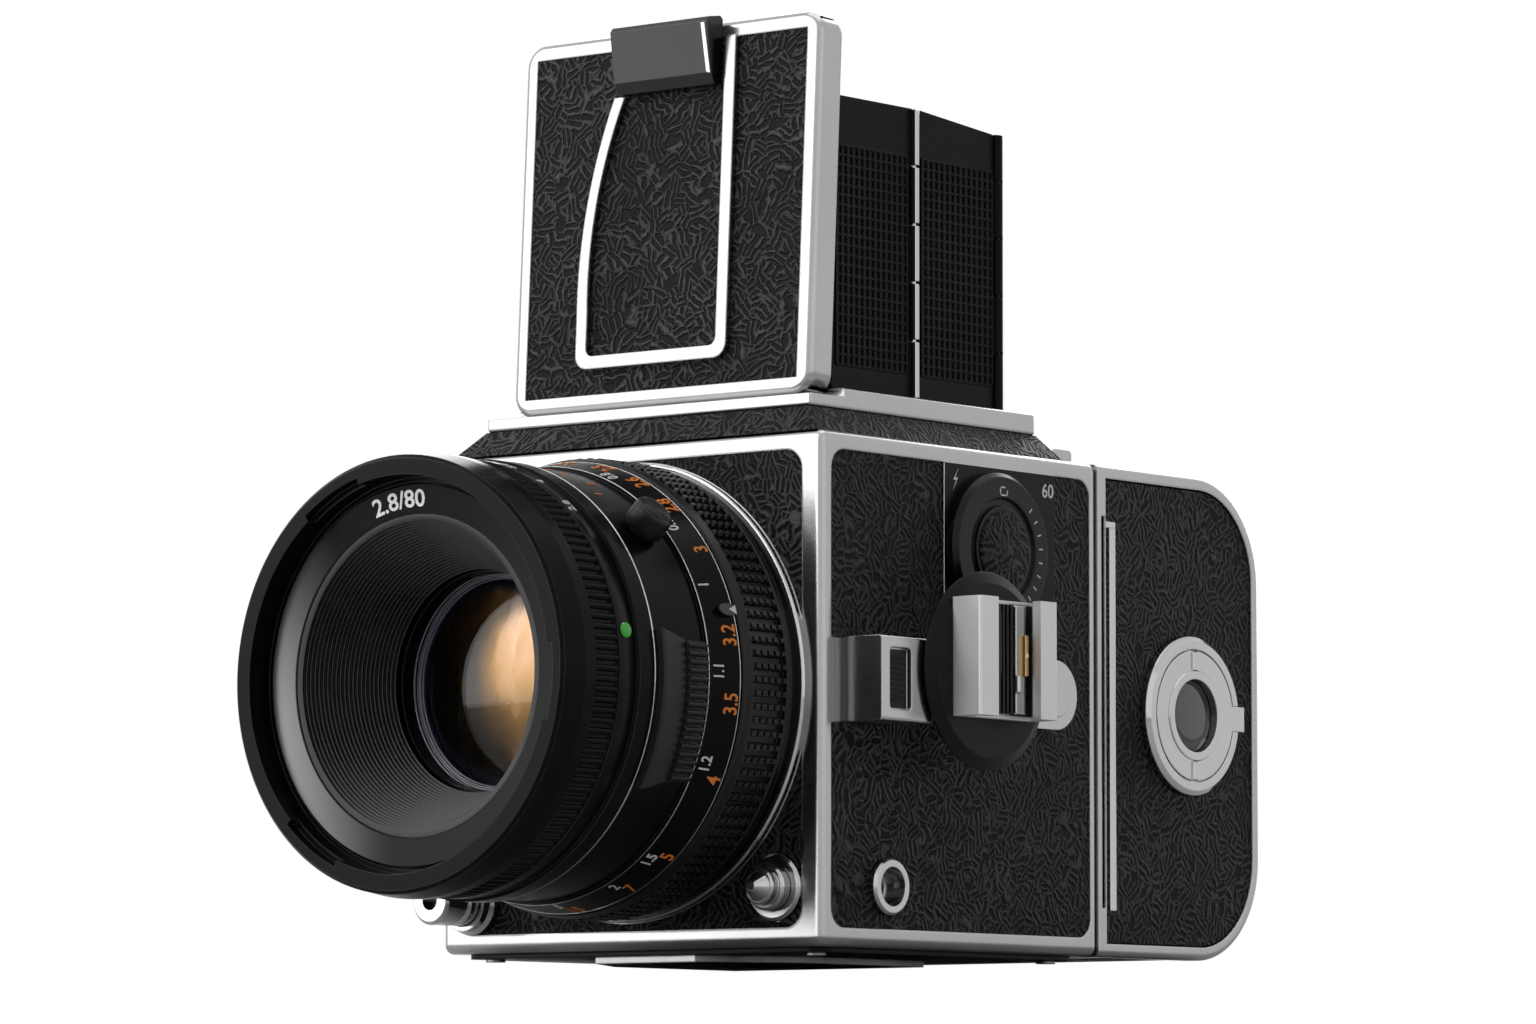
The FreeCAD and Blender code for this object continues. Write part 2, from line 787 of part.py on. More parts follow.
def make_screen():
    """Lay the focusing screen on the chamber, under the top's opening."""
    keep(block(
        across("screen_width / 2"),
        (WELL_MIDDLE + " - screen_depth / 2", WELL_MIDDLE + " + screen_depth / 2"),
        (CHAMBER_TOP, CHAMBER_TOP + " + screen_thickness"),
    ), "focusing_screen")


def make_mirror():
    """Make the reflex mirror at its resting slope, hinged at the top rear."""
    half = "mirror_carrier_thickness / 2"
    plate = block(
        across("mirror_half_width"),
        ("-mirror_length", "0"),
        ("-" + half, half),
    )
    pin = rod(
        "+X", ("-(chamber_half_width + chamber_wall)", "0", "0"), "mirror_pin_radius",
        "2 * (chamber_half_width + chamber_wall)",
    )
    glass = block(
        across("mirror_half_width - part_gap"),
        ("-mirror_length + part_gap", "-3 * mirror_pin_radius"),
        (half, half + " + mirror_glass_thickness"),
    )
    for item, label in ((fuse(plate, pin), "mirror_carrier"), (group(glass), "mirror_glass")):
        place(item, ("0", "mirror_pivot_back", MIRROR_PIVOT), Rotation(Vector(1, 0, 0), 45))
        item.setExpression("Placement.Rotation.Angle", bound("mirror_rest_angle"))
        keep(item, label)


def make_flaps():
    """Make the two light flaps that close the film gate."""
    middle = "((flap_pivot_top + flap_pivot_bottom) / 2)"
    thickness = ("flap_pivot_back - flap_thickness / 2", "flap_pivot_back + flap_thickness / 2")
    spans = (
        ("upper_flap", "flap_pivot_top", (middle + " + part_gap / 2", "flap_pivot_top")),
        ("lower_flap", "flap_pivot_bottom", ("flap_pivot_bottom", middle + " - part_gap / 2")),
    )
    for label, height, span in spans:
        leaf = block(across("mirror_half_width"), thickness, span)
        pin = rod(
            "+X", ("-(chamber_half_width + chamber_wall)", "flap_pivot_back", height), "flap_pin_radius",
            "2 * (chamber_half_width + chamber_wall)",
        )
        keep(fuse(leaf, pin), label)


def make_fittings():
    """Turn the fixed collars of the two front buttons and the flash socket."""
    release = turned("-Y", ("-release_offset", FRONT, "release_height"), (
        ("-panel_recess", "release_radius + fit_gap"),
        ("-panel_recess", "release_collar_radius"),
        ("1.0", "release_collar_radius"),
        ("1.6", "release_collar_radius - 0.6"),
        ("3.2", "release_collar_radius - 0.6"),
        ("3.2", "release_radius + fit_gap"),
    ))
    unlock = turned("-Y", ("unlock_offset", FRONT, "unlock_height"), (
        ("-panel_recess", "unlock_radius + fit_gap"),
        ("-panel_recess", "unlock_collar_radius"),
        ("0.5", "unlock_collar_radius"),
        ("0.9", "unlock_collar_radius - 0.5"),
        ("0.9", "unlock_radius + fit_gap"),
    ))
    flash = turned("+X", (SIDE, *FLASH), (
        ("-flash_depth", "0"),
        ("-flash_depth", "flash_barrel_radius - hinge_gap"),
        ("-panel_recess", "flash_barrel_radius - hinge_gap"),
        ("-panel_recess", "flash_flange_radius"),
        ("0.8", "flash_flange_radius"),
        ("1.2", "flash_flange_radius - 0.4"),
        ("1.2", "flash_bore_radius"),
        ("1.2 - flash_bore_length", "flash_bore_radius"),
        ("1.2 - flash_bore_length", "flash_bore_radius - flash_step"),
        ("1 - flash_depth", "flash_bore_radius - flash_step"),
        ("1 - flash_depth", "0.7"),
        ("1.2 - flash_bore_length - 2 * fit_gap", "0.7"),
        ("1.2 - flash_bore_length - 2 * fit_gap", "0"),
    ))
    keep(group(release, unlock, flash), "body_fittings")


def make_buttons():
    """Turn the shutter release with its cable socket and the lens release button."""
    keep(turned("-Y", ("-release_offset", FRONT, "release_height"), (
        ("-body_wall - 1.4", "0"),
        ("-body_wall - 1.4", "release_radius - 0.2"),
        ("3.4", "release_radius - 0.2"),
        ("3.4", "release_radius"),
        ("5.2", "release_radius"),
        ("5.6", "release_radius - 0.5"),
        ("6.4", "release_radius - 0.5"),
        ("6.8", "release_radius"),
        ("release_length - 0.5", "release_radius"),
        ("release_length", "release_radius - 0.5"),
        ("release_length", "cable_socket_radius"),
        ("release_length - cable_socket_depth", "cable_socket_radius"),
        ("release_length - cable_socket_depth", "0"),
    )), "release_button")
    keep(turned("-Y", ("unlock_offset", FRONT, "unlock_height"), (
        ("-body_wall - 1.4", "0"),
        ("-body_wall - 1.4", "unlock_radius"),
        ("2.6", "unlock_radius"),
        ("3.0", "unlock_radius - 0.4"),
        ("3.0", "unlock_radius - 0.9"),
        ("4.4", "unlock_radius - 0.9"),
        ("4.7", "unlock_radius - 1.2"),
        ("4.7", "unlock_radius - 1.5"),
        ("unlock_length", "0.8"),
        ("unlock_length", "0"),
    )), "lens_release_button")


# Accessory rail, shoe and film speed dial

SHOE_FACE = "(%s + rail_block_reach + fit_gap)" % SIDE
SHOE_BASE = "(" + SHOE_FACE + " + shoe_disc_thickness + fit_gap)"


def make_rail():
    """Make the accessory rail with its thick front block and round rear end."""
    inner = SIDE + " - panel_recess"
    head = rounded(
        block(
            (inner, SIDE + " + rail_block_reach"),
            ("rail_front", "rail_front + rail_block_length"),
            ("rail_level - rail_block_height / 2", "rail_level + rail_block_height / 2"),
        ),
        "part_gap * 2",
        parallel("Y", lambda middle: middle.x > number(SIDE)),
    )
    bar = block(
        (inner, SIDE + " + rail_reach"),
        ("rail_front + rail_block_length / 2", "rail_end"),
        ("rail_level - rail_height / 2", "rail_level + rail_height / 2"),
    )
    end = rod("+X", (inner, "rail_end", "rail_level"), "rail_height / 2", "rail_reach + panel_recess")
    rivet = rod("+X", (SIDE + " + rail_reach", "rail_end", "rail_level"), "rail_rivet_radius", "0.3")
    recess = block(
        (SIDE + " + rail_block_reach - 1", SIDE + " + rail_block_reach"),
        ("rail_front + 2.2", "rail_front + 8.0"),
        ("rail_level - 5.2", "rail_level + 5.2"),
    )
    keep(cut(fuse(head, bar, end, rivet), rounded(recess, "part_gap * 3", parallel("X"))), "accessory_rail")


def make_shoe():
    """Make the shoe on its carriage, the clamp disc and the shoe's springs."""
    inner = SIDE + " + rail_reach + fit_gap"
    carriage = block(
        (inner, SHOE_FACE),
        ("shoe_middle - 7", "shoe_middle + 7"),
        ("rail_level - rail_height / 2", "rail_level + rail_height / 2"),
    )
    hub = rod("+X", (SHOE_FACE, "shoe_middle", "shoe_level"), "shoe_hub_radius", "shoe_disc_thickness + fit_gap")
    low = "shoe_level + 1.9 - shoe_length / 2"
    high = "shoe_level + 1.9 + shoe_length / 2"
    left = "shoe_middle - shoe_width / 2"
    right = "shoe_middle + shoe_width / 2"
    top = SHOE_BASE + " + shoe_base + shoe_slot_height + shoe_lip_thickness"
    shell = rounded(
        block((SHOE_BASE, top), (left, right), (low, high)),
        "part_gap * 2",
        parallel("Z", lambda middle: middle.x > number(SHOE_BASE) + 1),
    )
    slot = block(
        (SHOE_BASE + " + shoe_base", SHOE_BASE + " + shoe_base + shoe_slot_height"),
        (left + " + shoe_wall", right + " - shoe_wall"),
        (low, high),
    )
    mouth = block((SHOE_BASE + " + shoe_base", top), (left + " + shoe_lip", right + " - shoe_lip"), (low, high))
    keep(fuse(carriage, hub, cut(shell, slot, mouth)), "shoe_channel")
    disc = turned("+X", (SHOE_FACE + " + fit_gap / 2", "shoe_middle", "shoe_level"), (
        ("0", "shoe_hub_radius + fit_gap"),
        ("0", "shoe_disc_radius - 0.5"),
        ("0.5", "shoe_disc_radius"),
        ("shoe_disc_thickness - 1", "shoe_disc_radius"),
        ("shoe_disc_thickness", "shoe_disc_radius - 2"),
        ("shoe_disc_thickness", "shoe_hub_radius + fit_gap"),
    ))
    keep(disc, "shoe_disc")
    count = 5
    strips = [
        block(
            (SHOE_BASE + " + shoe_base", SHOE_BASE + " + shoe_base + 1.6"),
            ("%s + shoe_wall + %.2f" % (left, 0.3 + 1.1 * index), "%s + shoe_wall + %.2f" % (left, 0.9 + 1.1 * index)),
            (low + " + 0.6", high + " - 0.6"),
        )
        for index in range(count)
    ]
    sheet_plate = block(
        (SHOE_BASE + " + shoe_base", SHOE_BASE + " + shoe_base + 0.5"),
        (left + " + shoe_wall + 0.2", right + " - shoe_wall - 0.2"),
        (low + " + 0.6", high + " - 0.6"),
    )
    contact = block(
        (SHOE_BASE + " + shoe_base + 0.5", SHOE_BASE + " + shoe_base + 1.3"),
        ("shoe_middle + 3.2", "shoe_middle + 5.2"),
        ("shoe_level - 3", "shoe_level + 6"),
    )
    keep(fuse(sheet_plate, *strips, contact), "shoe_spring")


def make_speed_dial():
    """Turn the film speed dial, which stands on the casting's flat plate."""
    keep(turned("+X", (SIDE + " + fit_gap", *DIAL), (
        ("-body_wall", "0"),
        ("-body_wall", "dial_axle_radius"),
        ("0", "dial_axle_radius"),
        ("0", "dial_radius"),
        ("dial_thickness - 0.8", "dial_radius"),
        ("dial_thickness", "dial_radius - 0.8"),
        ("dial_thickness", "dial_inset_radius + 1.6"),
        ("dial_thickness - 0.7", "dial_inset_radius + 1.2"),
        ("dial_thickness - 0.7", "dial_inset_radius + 0.2"),
        ("dial_thickness", "dial_inset_radius"),
        ("dial_thickness", "0"),
    )), "film_speed_dial")


# Winding side

CRANK_FACE = "(%s + part_gap + crank_depth)" % SIDE
CRANK_HINGE = "(crank_middle - crank_radius)"


def make_crank():
    """Make the winding knob, its folding arm, the handle and the shaft inside."""
    cup = turned("-X", ("-" + SIDE, *CRANK), (
        ("part_gap", "0"),
        ("part_gap", "crank_radius"),
        ("part_gap + crank_depth - 0.6", "crank_radius"),
        ("part_gap + crank_depth", "crank_radius - 0.6"),
        ("part_gap + crank_depth", "crank_radius - crank_wall"),
        ("part_gap + crank_floor", "crank_radius - crank_wall"),
        ("part_gap + crank_floor", "0"),
    ))
    hinge_x = "-(%s + fit_gap + crank_arm_thickness / 2)" % CRANK_FACE
    lugs = []
    for low, high in (
        ("crank_level - crank_arm_width / 2 - 1.6", "crank_level - crank_arm_width / 2 - fit_gap"),
        ("crank_level + crank_arm_width / 2 + fit_gap", "crank_level + crank_arm_width / 2 + 1.6"),
    ):
        lugs.append(block(
            (hinge_x + " - crank_arm_thickness / 2", "-(%s + part_gap)" % SIDE),
            (CRANK_HINGE + " - 1.3", CRANK_HINGE + " + 1.5"),
            (low, high),
        ))
    pin = rod(
        "+Z", (hinge_x, CRANK_HINGE, "crank_level - crank_arm_width / 2 - 1.6"), "0.6", "crank_arm_width + 3.2"
    )
    keep(fuse(cup, *lugs, pin), "crank_knob")
    bar = block(
        ("-(%s + fit_gap + crank_arm_thickness)" % CRANK_FACE, "-(%s + fit_gap)" % CRANK_FACE),
        (CRANK_HINGE, CRANK_HINGE + " + crank_handle_reach"),
        ("crank_level - crank_arm_width / 2", "crank_level + crank_arm_width / 2"),
    )
    tip = rod(
        "-X", ("-(%s + fit_gap)" % CRANK_FACE, CRANK_HINGE + " + crank_handle_reach", "crank_level"),
        "crank_arm_width / 2", "crank_arm_thickness",
    )
    barrel = rod(
        "+Z", (hinge_x, CRANK_HINGE, "crank_level - crank_arm_width / 2"), "crank_arm_thickness / 2",
        "crank_arm_width",
    )
    bore = rod(
        "+Z", (hinge_x, CRANK_HINGE, "crank_level - crank_arm_width"), "0.6 + hinge_gap", "2 * crank_arm_width"
    )
    handle_hole = rod(
        "-X", ("-" + CRANK_FACE, CRANK_HINGE + " + crank_handle_reach", "crank_level"), "1.2 + hinge_gap",
        "2 * crank_arm_thickness",
    )
    keep(cut(fuse(bar, tip, barrel), bore, handle_hole), "crank_arm")
    keep(turned("-X", ("-" + CRANK_FACE, CRANK_HINGE + " + crank_handle_reach", "crank_level"), (
        ("-crank_handle_length", "0"),
        ("-crank_handle_length", "crank_handle_radius - 0.6"),
        ("0.6 - crank_handle_length", "crank_handle_radius"),
        ("-0.6", "crank_handle_radius"),
        ("0", "crank_handle_radius - 0.6"),
        ("0", "1.2"),
        ("fit_gap + crank_arm_thickness + fit_gap", "1.2"),
        ("fit_gap + crank_arm_thickness + fit_gap", "2"),
        ("fit_gap + crank_arm_thickness + 0.6", "2"),
        ("fit_gap + crank_arm_thickness + 0.6", "0"),
    )), "crank_handle")
    shaft_end = "chamber_half_width + chamber_wall + part_gap - body_width / 2"
    keep(turned("-X", ("-" + SIDE, *CRANK), (
        (shaft_end, "0"),
        (shaft_end, "drive_gear_radius"),
        (shaft_end + " + 2", "drive_gear_radius"),
        (shaft_end + " + 2", "drive_shaft_radius"),
        ("part_gap", "drive_shaft_radius"),
        ("part_gap", "0"),
    )), "drive_shaft")


def make_mirror_lever():
    """Make the lever that lifts the mirror before the exposure."""
    hub = rod("-X", ("-(%s + part_gap)" % SIDE, *LEVER), "lever_hub_radius", "lever_thickness")
    stem = rod("-X", ("body_wall - " + SIDE, *LEVER), "drive_shaft_radius", "body_wall + part_gap")
    arm = block(
        ("-(%s + part_gap + lever_thickness)" % SIDE, "-(%s + part_gap)" % SIDE),
        ("lever_back - 2", "lever_back + 2"),
        ("lever_level - lever_length", "lever_level"),
    )
    keep(fuse(hub, stem, arm), "mirror_lever")


# Finder with its folding hood

def make_finder_base():
    """Make the sloped band of the finder and the bright plate that carries the hood."""
    corners = (
        ("finder_foot_half_width", "finder_foot_front", "finder_foot_back", TOP),
        ("finder_half_width", "finder_front", "finder_back", FINDER_PLATE),
    )

    def frustum(inset):
        wires = []
        for half, front, back, level in corners:
            half, front, back, level = number(half), number(front), number(back), number(level)
            points = [
                Vector(x, y, level)
                for x, y in (
                    (inset - half, inset - front), (half - inset, inset - front),
                    (half - inset, back - inset), (inset - half, back - inset),
                )
            ]
            wires.append(Part.makePolygon(points + points[:1]))
        return Part.makeLoft(wires, True, True)

    skin = VALUES["leather_thickness"] / 2
    core = feature(frustum(skin), ("0", "0", "0"))
    well = block(
        across(WELL_SIDE),
        (WELL_FRONT, WELL_BACK),
        (TOP + " - 1", FINDER_TOP + " + 1"),
    )
    keep(cut(core, well), "finder_band")
    leather = feature(frustum(0).cut(frustum(skin)), ("0", "0", "0"))
    plate = rounded(
        block(across("finder_half_width"), ("-finder_front", "finder_back"), (FINDER_PLATE, FINDER_TOP)),
        "part_gap * 2",
    )
    well_above = block(
        across(WELL_SIDE),
        (WELL_FRONT, WELL_BACK),
        (TOP, FINDER_TOP + " + 1"),
    )
    shelf = block(
        across("finder_half_width + 1"),
        ("-finder_front - 1", "-lid_front + lid_depth + part_gap"),
        (LID_SHELF, FINDER_TOP + " + 1"),
    )
    keep(cut(plate, well_above, shelf), "finder_plate")
    return leather


LEAF_LOW = "(" + FINDER_TOP + " + leaf_bottom_gap)"
LEAF_PITCH = "(leaf_height / knuckle_count)"


def knuckles(x, y, members):
    """Make the hinge barrels of a leaf at the given places of the knuckle row."""
    pieces = []
    for index in members:
        low = "%s + %d * %s + knuckle_space / 2" % (LEAF_LOW, index, LEAF_PITCH)
        pieces.append(rod("+Z", (x, y, low), "knuckle_radius", LEAF_PITCH + " - knuckle_space"))
    return pieces


def knuckle_rooms(x, y, members):
    """Make the tools that clear a leaf round its neighbour's barrels."""
    room = "(knuckle_radius + part_gap)"
    pieces = []
    for index in members:
        low = "%s + %d * %s" % (LEAF_LOW, index, LEAF_PITCH)
        high = "%s + %d * %s" % (LEAF_LOW, index + 1, LEAF_PITCH)
        pieces.append(block(
            ("%s - %s" % (x, room), "%s + %s" % (x, room)), ("%s - %s" % (y, room), "%s + %s" % (y, room)), (low, high)
        ))
    return pieces


def pin_bore(x, y):
    """Make the tool for a hinge pin's bore."""
    return rod("+Z", (x, y, LEAF_LOW), "hood_pin_radius + hinge_gap", "leaf_height")


def pin(x, y):
    """Make a hinge pin as long as the leaves are high."""
    return rod("+Z", (x, y, LEAF_LOW), "hood_pin_radius", "leaf_height")


HOOD_FRONT = "(-hood_front)"
HOOD_FOLD = "(leaf_length - hood_front)"
HOOD_BACK = "(2 * leaf_length - hood_front)"
EVEN = (0, 2, 4)
ODD = (1, 3)


def leaf_sheet(side):
    """Give the two faces of the sheet of a side leaf, with the hinge line in the outer one."""
    inner = "(hood_half_width - leaf_thickness)"
    return (inner, "hood_half_width") if side > 0 else ("-hood_half_width", "-" + inner)


def leaf_wedge():
    """Give the wedge that slopes the tops of the rear leaves down to the back."""
    top = "(" + LEAF_LOW + " + leaf_height)"
    start, end = HOOD_FOLD + " + knuckle_radius + 0.4", HOOD_BACK + " + 3"
    points = ((start, top), (end, top + " - leaf_slope"), (end, top + " + 1"), (start, top + " + 1"))
    return prism("+X", ("-hood_half_width - 3", "0", "0"), points, "2 * hood_half_width + 6")


def make_leaf(label, side, start, end, start_members, end_members):
    """Make a side leaf between two hinge lines. The even barrels of its end hold the pin."""
    hinge = "%shood_half_width" % ("" if side > 0 else "-")
    panel = block(
        leaf_sheet(side),
        (start, end),
        (LEAF_LOW, LEAF_LOW + " + leaf_height"),
    )
    others = {EVEN: ODD, ODD: EVEN}
    panel = cut(
        panel,
        *knuckle_rooms(hinge, start, others[start_members]),
        *knuckle_rooms(hinge, end, others[end_members]),
    )
    barrels = knuckles(hinge, start, start_members) + knuckles(hinge, end, end_members)
    if end_members == EVEN:
        leaf = fuse(panel, *barrels, pin(hinge, end))
        return keep(cut(leaf, pin_bore(hinge, start)), label)
    return keep(cut(fuse(panel, *barrels), pin_bore(hinge, start), pin_bore(hinge, end), leaf_wedge()), label)


def make_hood_sides():
    """Make the four side leaves and the rear leaf of the hood."""
    for name, side in (("left", -1), ("right", 1)):
        make_leaf(name + "_front_leaf", side, HOOD_FRONT, HOOD_FOLD, ODD, EVEN)
        make_leaf(name + "_rear_leaf", side, HOOD_FOLD, HOOD_BACK, ODD, ODD)
    hinge = "hood_half_width"
    panel = block(
        across(hinge),
        (HOOD_BACK + " + knuckle_radius - 0.1", HOOD_BACK + " + knuckle_radius - 0.1 + leaf_thickness"),
        (LEAF_LOW, LEAF_LOW + " + leaf_height"),
    )
    left, right = "-" + hinge, hinge
    rooms = knuckle_rooms(left, HOOD_BACK, ODD) + knuckle_rooms(right, HOOD_BACK, ODD)
    barrels = knuckles(left, HOOD_BACK, EVEN) + knuckles(right, HOOD_BACK, EVEN)
    pins = (pin(left, HOOD_BACK), pin(right, HOOD_BACK))
    keep(cut(fuse(cut(panel, *rooms), *barrels, *pins), leaf_wedge()), "rear_leaf")


LID_FOOT = "(%s + lid_depth * sin(lid_lean) + hinge_gap)" % LID_SHELF
LID_PIVOT = ("0", "-lid_front", LID_FOOT)


def lean_lid(item, label):
    """Set a lid piece on the finder with the lid's lean."""
    place(item, LID_PIVOT, Rotation(Vector(1, 0, 0), -1))
    item.setExpression("Placement.Rotation.Angle", bound("-lid_lean"))
    return keep(item, label)


def shield_wire(inset, height):
    """Draw the shield on the lid: one bowed leg, one straight leg and a bottom bar."""
    left = -VALUES["shield_left"] + inset
    right = VALUES["shield_right"] - inset
    low = VALUES["shield_bottom"] + inset
    top = VALUES["shield_top"]
    top_left = -VALUES["shield_top_left"] + inset
    bend = (top + low) / 2
    corner = 2.6 - inset / 2
    start = Vector(top_left, height, top)
    middle = Vector(left + 1.6, height, bend + 6)
    foot = Vector(left, height, low + corner + 6)
    slant = corner * (1 - math.sqrt(0.5))
    edges = [
        Part.Arc(start, middle, foot).toShape(),
        Part.LineSegment(foot, Vector(left, height, low + corner)).toShape(),
        Part.Arc(
            Vector(left, height, low + corner),
            Vector(left + slant, height, low + slant),
            Vector(left + corner, height, low),
        ).toShape(),
        Part.LineSegment(Vector(left + corner, height, low), Vector(right - corner, height, low)).toShape(),
        Part.Arc(
            Vector(right - corner, height, low),
            Vector(right - slant, height, low + slant),
            Vector(right, height, low + corner),
        ).toShape(),
        Part.LineSegment(Vector(right, height, low + corner), Vector(right, height, top)).toShape(),
        Part.LineSegment(Vector(right, height, top), start).toShape(),
    ]
    return Part.Wire(edges)


def shield_solid(inset, front, back):
    """Make the solid inside a shield outline between two depths."""
    return Part.Face(shield_wire(inset, front)).extrude(Vector(0, back - front, 0))


def make_lid(finder_leather):
    """Make the hood's lid: bright frame, dark lining, leather, shield trim and latch."""
    depth = "lid_depth"
    shell = rounded(
        rounded(
            block(across("lid_half_width"), ("0", depth), ("0", "lid_height")),
            "lid_corner",
            parallel("Y", lambda middle: True),
        ),
        "lid_bead",
        lambda edge: edge.BoundBox.YMax < 1e-4,
    )
    hollow = block(
        across("lid_half_width - lid_rim"),
        ("lid_plate_thickness", depth + " + 1"),
        ("lid_rim", "lid_height - lid_rim"),
    )
    front = block(
        across("lid_half_width - lid_border"),
        ("-1", "lid_recess"),
        ("lid_border", "lid_height - lid_border"),
    )
    shield = feature(
        shield_solid(0, -VALUES["shield_proud"], VALUES["lid_recess"]).cut(
            shield_solid(VALUES["shield_leg"], -VALUES["shield_proud"], VALUES["lid_recess"])
        ),
        ("0", "0", "0"),
    )
    rise = block(
        ("shield_right - shield_leg", "shield_right"),
        ("-shield_proud", "lid_recess"),
        ("%.3f - 0.1" % VALUES["shield_top"], "lid_height - lid_border + 0.1"),
    )
    lean_lid(fuse(cut(shell, hollow, front), shield, rise), "lid_frame")
    outer = rounded(block(
        across("lid_half_width - lid_border - fit_gap"),
        ("lid_recess - lid_leather", "lid_recess"),
        ("lid_border + fit_gap", "lid_height - lid_border - fit_gap"),
    ), "fit_gap * 5", parallel("Y"))
    skin = VALUES["lid_recess"] - VALUES["lid_leather"]
    gap = VALUES["fit_gap"]
    whole = feature(shield_solid(-gap, skin - 1, VALUES["lid_recess"] + 1), ("0", "0", "0"))
    inside = feature(
        shield_solid(VALUES["shield_leg"] + gap, skin, VALUES["lid_recess"]), ("0", "0", "0")
    )
    beside = block(
        ("shield_right - shield_leg - fit_gap", "shield_right + fit_gap"),
        ("-1", "lid_recess + 1"),
        ("%.3f - 0.5" % VALUES["shield_top"], "lid_height"),
    )
    leather = group(cut(outer, whole, beside), inside)
    place(leather, LID_PIVOT, Rotation(Vector(1, 0, 0), -1))
    leather.setExpression("Placement.Rotation.Angle", bound("-lid_lean"))
    keep(group(finder_leather, leather), "finder_coverings")
    points = (
        ("-fit_gap", "latch_bottom"),
        ("-fit_gap", "latch_bottom + latch_height - 0.6"),
        ("-0.8", "latch_bottom + latch_height"),
        ("-latch_reach + 0.6", "latch_bottom + latch_height - 0.6"),
        ("-latch_reach", "latch_bottom + latch_height - 1.4"),
        ("-latch_reach + latch_slant", "latch_bottom + 1.8"),
        ("-latch_reach + latch_slant + 1", "latch_bottom"),
    )
    latch = prism("+X", ("-latch_left", "0", "0"), points, "latch_left + latch_right")
    lean_lid(group(latch), "lid_latch")


LINING_FACE = "(lid_plate_thickness + lining_thickness)"
MAGNIFIER_TOP = "(lid_height - magnifier_pivot_drop)"
MAGNIFIER_AXLE = "(%s + magnifier_stand)" % LINING_FACE


def make_lid_plate():
    """Make the dark plate inside the lid, with the cheeks of the front hinges and two ears."""
    lining = block(
        across("lid_half_width - lid_rim - fit_gap"),
        ("lid_plate_thickness", LINING_FACE),
        ("lid_rim + fit_gap", "lid_height - lid_rim - fit_gap"),
    )
    ears = [
        block(
            (low, high),
            ("lid_plate_thickness", MAGNIFIER_AXLE + " + ear_radius"),
            (MAGNIFIER_TOP + " - ear_radius", MAGNIFIER_TOP + " + ear_radius"),
        )
        for low, high in (
            ("magnifier_width / 2 + part_gap", "magnifier_width / 2 + part_gap + ear_width"),
            ("-(magnifier_width / 2 + part_gap + ear_width)", "-(magnifier_width / 2 + part_gap)"),
        )
    ]
    bore = rod(
        "+X", ("-lid_half_width", MAGNIFIER_AXLE, MAGNIFIER_TOP), "magnifier_pin_radius + hinge_gap",
        "2 * lid_half_width",
    )
    plate = cut(fuse(lining, *ears), bore)
    place(plate, LID_PIVOT, Rotation(Vector(1, 0, 0), -1))
    plate.setExpression("Placement.Rotation.Angle", bound("-lid_lean"))
    root = "(-lid_front + lid_plate_thickness + lining_thickness / 2 + %s)"
    low = LEAF_LOW
    high = "(%s + leaf_height)" % LEAF_LOW
    pieces = [plate]
    for side, sign in ((-1, "-"), (1, "")):
        hinge = sign + "hood_half_width"
        cheek = prism("+X", (leaf_sheet(side)[0], "0", "0"), (
            (root % ("(%s - %s) * tan(lid_lean)" % (low, LID_FOOT)), low),
            (HOOD_FRONT, low),
            (HOOD_FRONT, high),
            (root % ("(%s - %s) * tan(lid_lean)" % (high, LID_FOOT)), high),
        ), "leaf_thickness")
        pieces.append(cut(cheek, *knuckle_rooms(hinge, HOOD_FRONT, ODD)))
        pieces.extend(knuckles(hinge, HOOD_FRONT, EVEN))
        pieces.append(pin(hinge, HOOD_FRONT))
    keep(fuse(*pieces), "lid_plate")


def make_magnifier():
    """Make the magnifier, stowed against the inside of the lid."""
    face = "(%s - magnifier_thickness / 2)" % MAGNIFIER_AXLE
    plate = block(
        across("magnifier_width / 2"),
        (face, face + " + magnifier_thickness"),
        (MAGNIFIER_TOP + " - magnifier_length", MAGNIFIER_TOP),
    )
    centre = MAGNIFIER_TOP + " - magnifier_length / 2"
    hole = rod("+Y", ("0", "0", centre), "magnifier_radius", "lid_depth + 3")
    rim = tube(
        "+Y", ("0", face, centre), "magnifier_radius + 1", "magnifier_radius", "magnifier_thickness + 0.5"
    )
    reach = "magnifier_width / 2 + part_gap + ear_width"
    axle = rod("+X", ("-(%s)" % reach, MAGNIFIER_AXLE, MAGNIFIER_TOP), "magnifier_pin_radius", "2 * (%s)" % reach)
    lean_lid(fuse(cut(plate, hole), rim, axle), "magnifier_frame")
    glass = rod("+Y", ("0", face, centre), "magnifier_radius", "magnifier_thickness + 0.4")
    lean_lid(group(glass), "magnifier_glass")


# Lens

LENS = ("0", FRONT, AXIS)


def make_lens_barrel():
    """Turn the rear barrel with the bayonet tail and the guide of the focusing ring."""
    keep(turned("-Y", LENS, (
        ("mount_thickness - barrel_tail_length", "barrel_tail_radius - barrel_tail_wall"),
        ("mount_thickness - barrel_tail_length", "barrel_tail_radius"),
        ("mount_thickness", "barrel_tail_radius"),
        ("mount_thickness", "barrel_radius"),
        ("mount_thickness + barrel_flange", "barrel_radius"),
        ("mount_thickness + barrel_flange", "barrel_guide_radius"),
        (FOCUS_FRONT, "barrel_guide_radius"),
        (FOCUS_FRONT, "barrel_guide_radius - barrel_guide_wall"),
        ("mount_thickness + barrel_flange", "barrel_guide_radius - barrel_guide_wall"),
        ("mount_thickness", "barrel_tail_radius - barrel_tail_wall"),
    )), "lens_barrel")


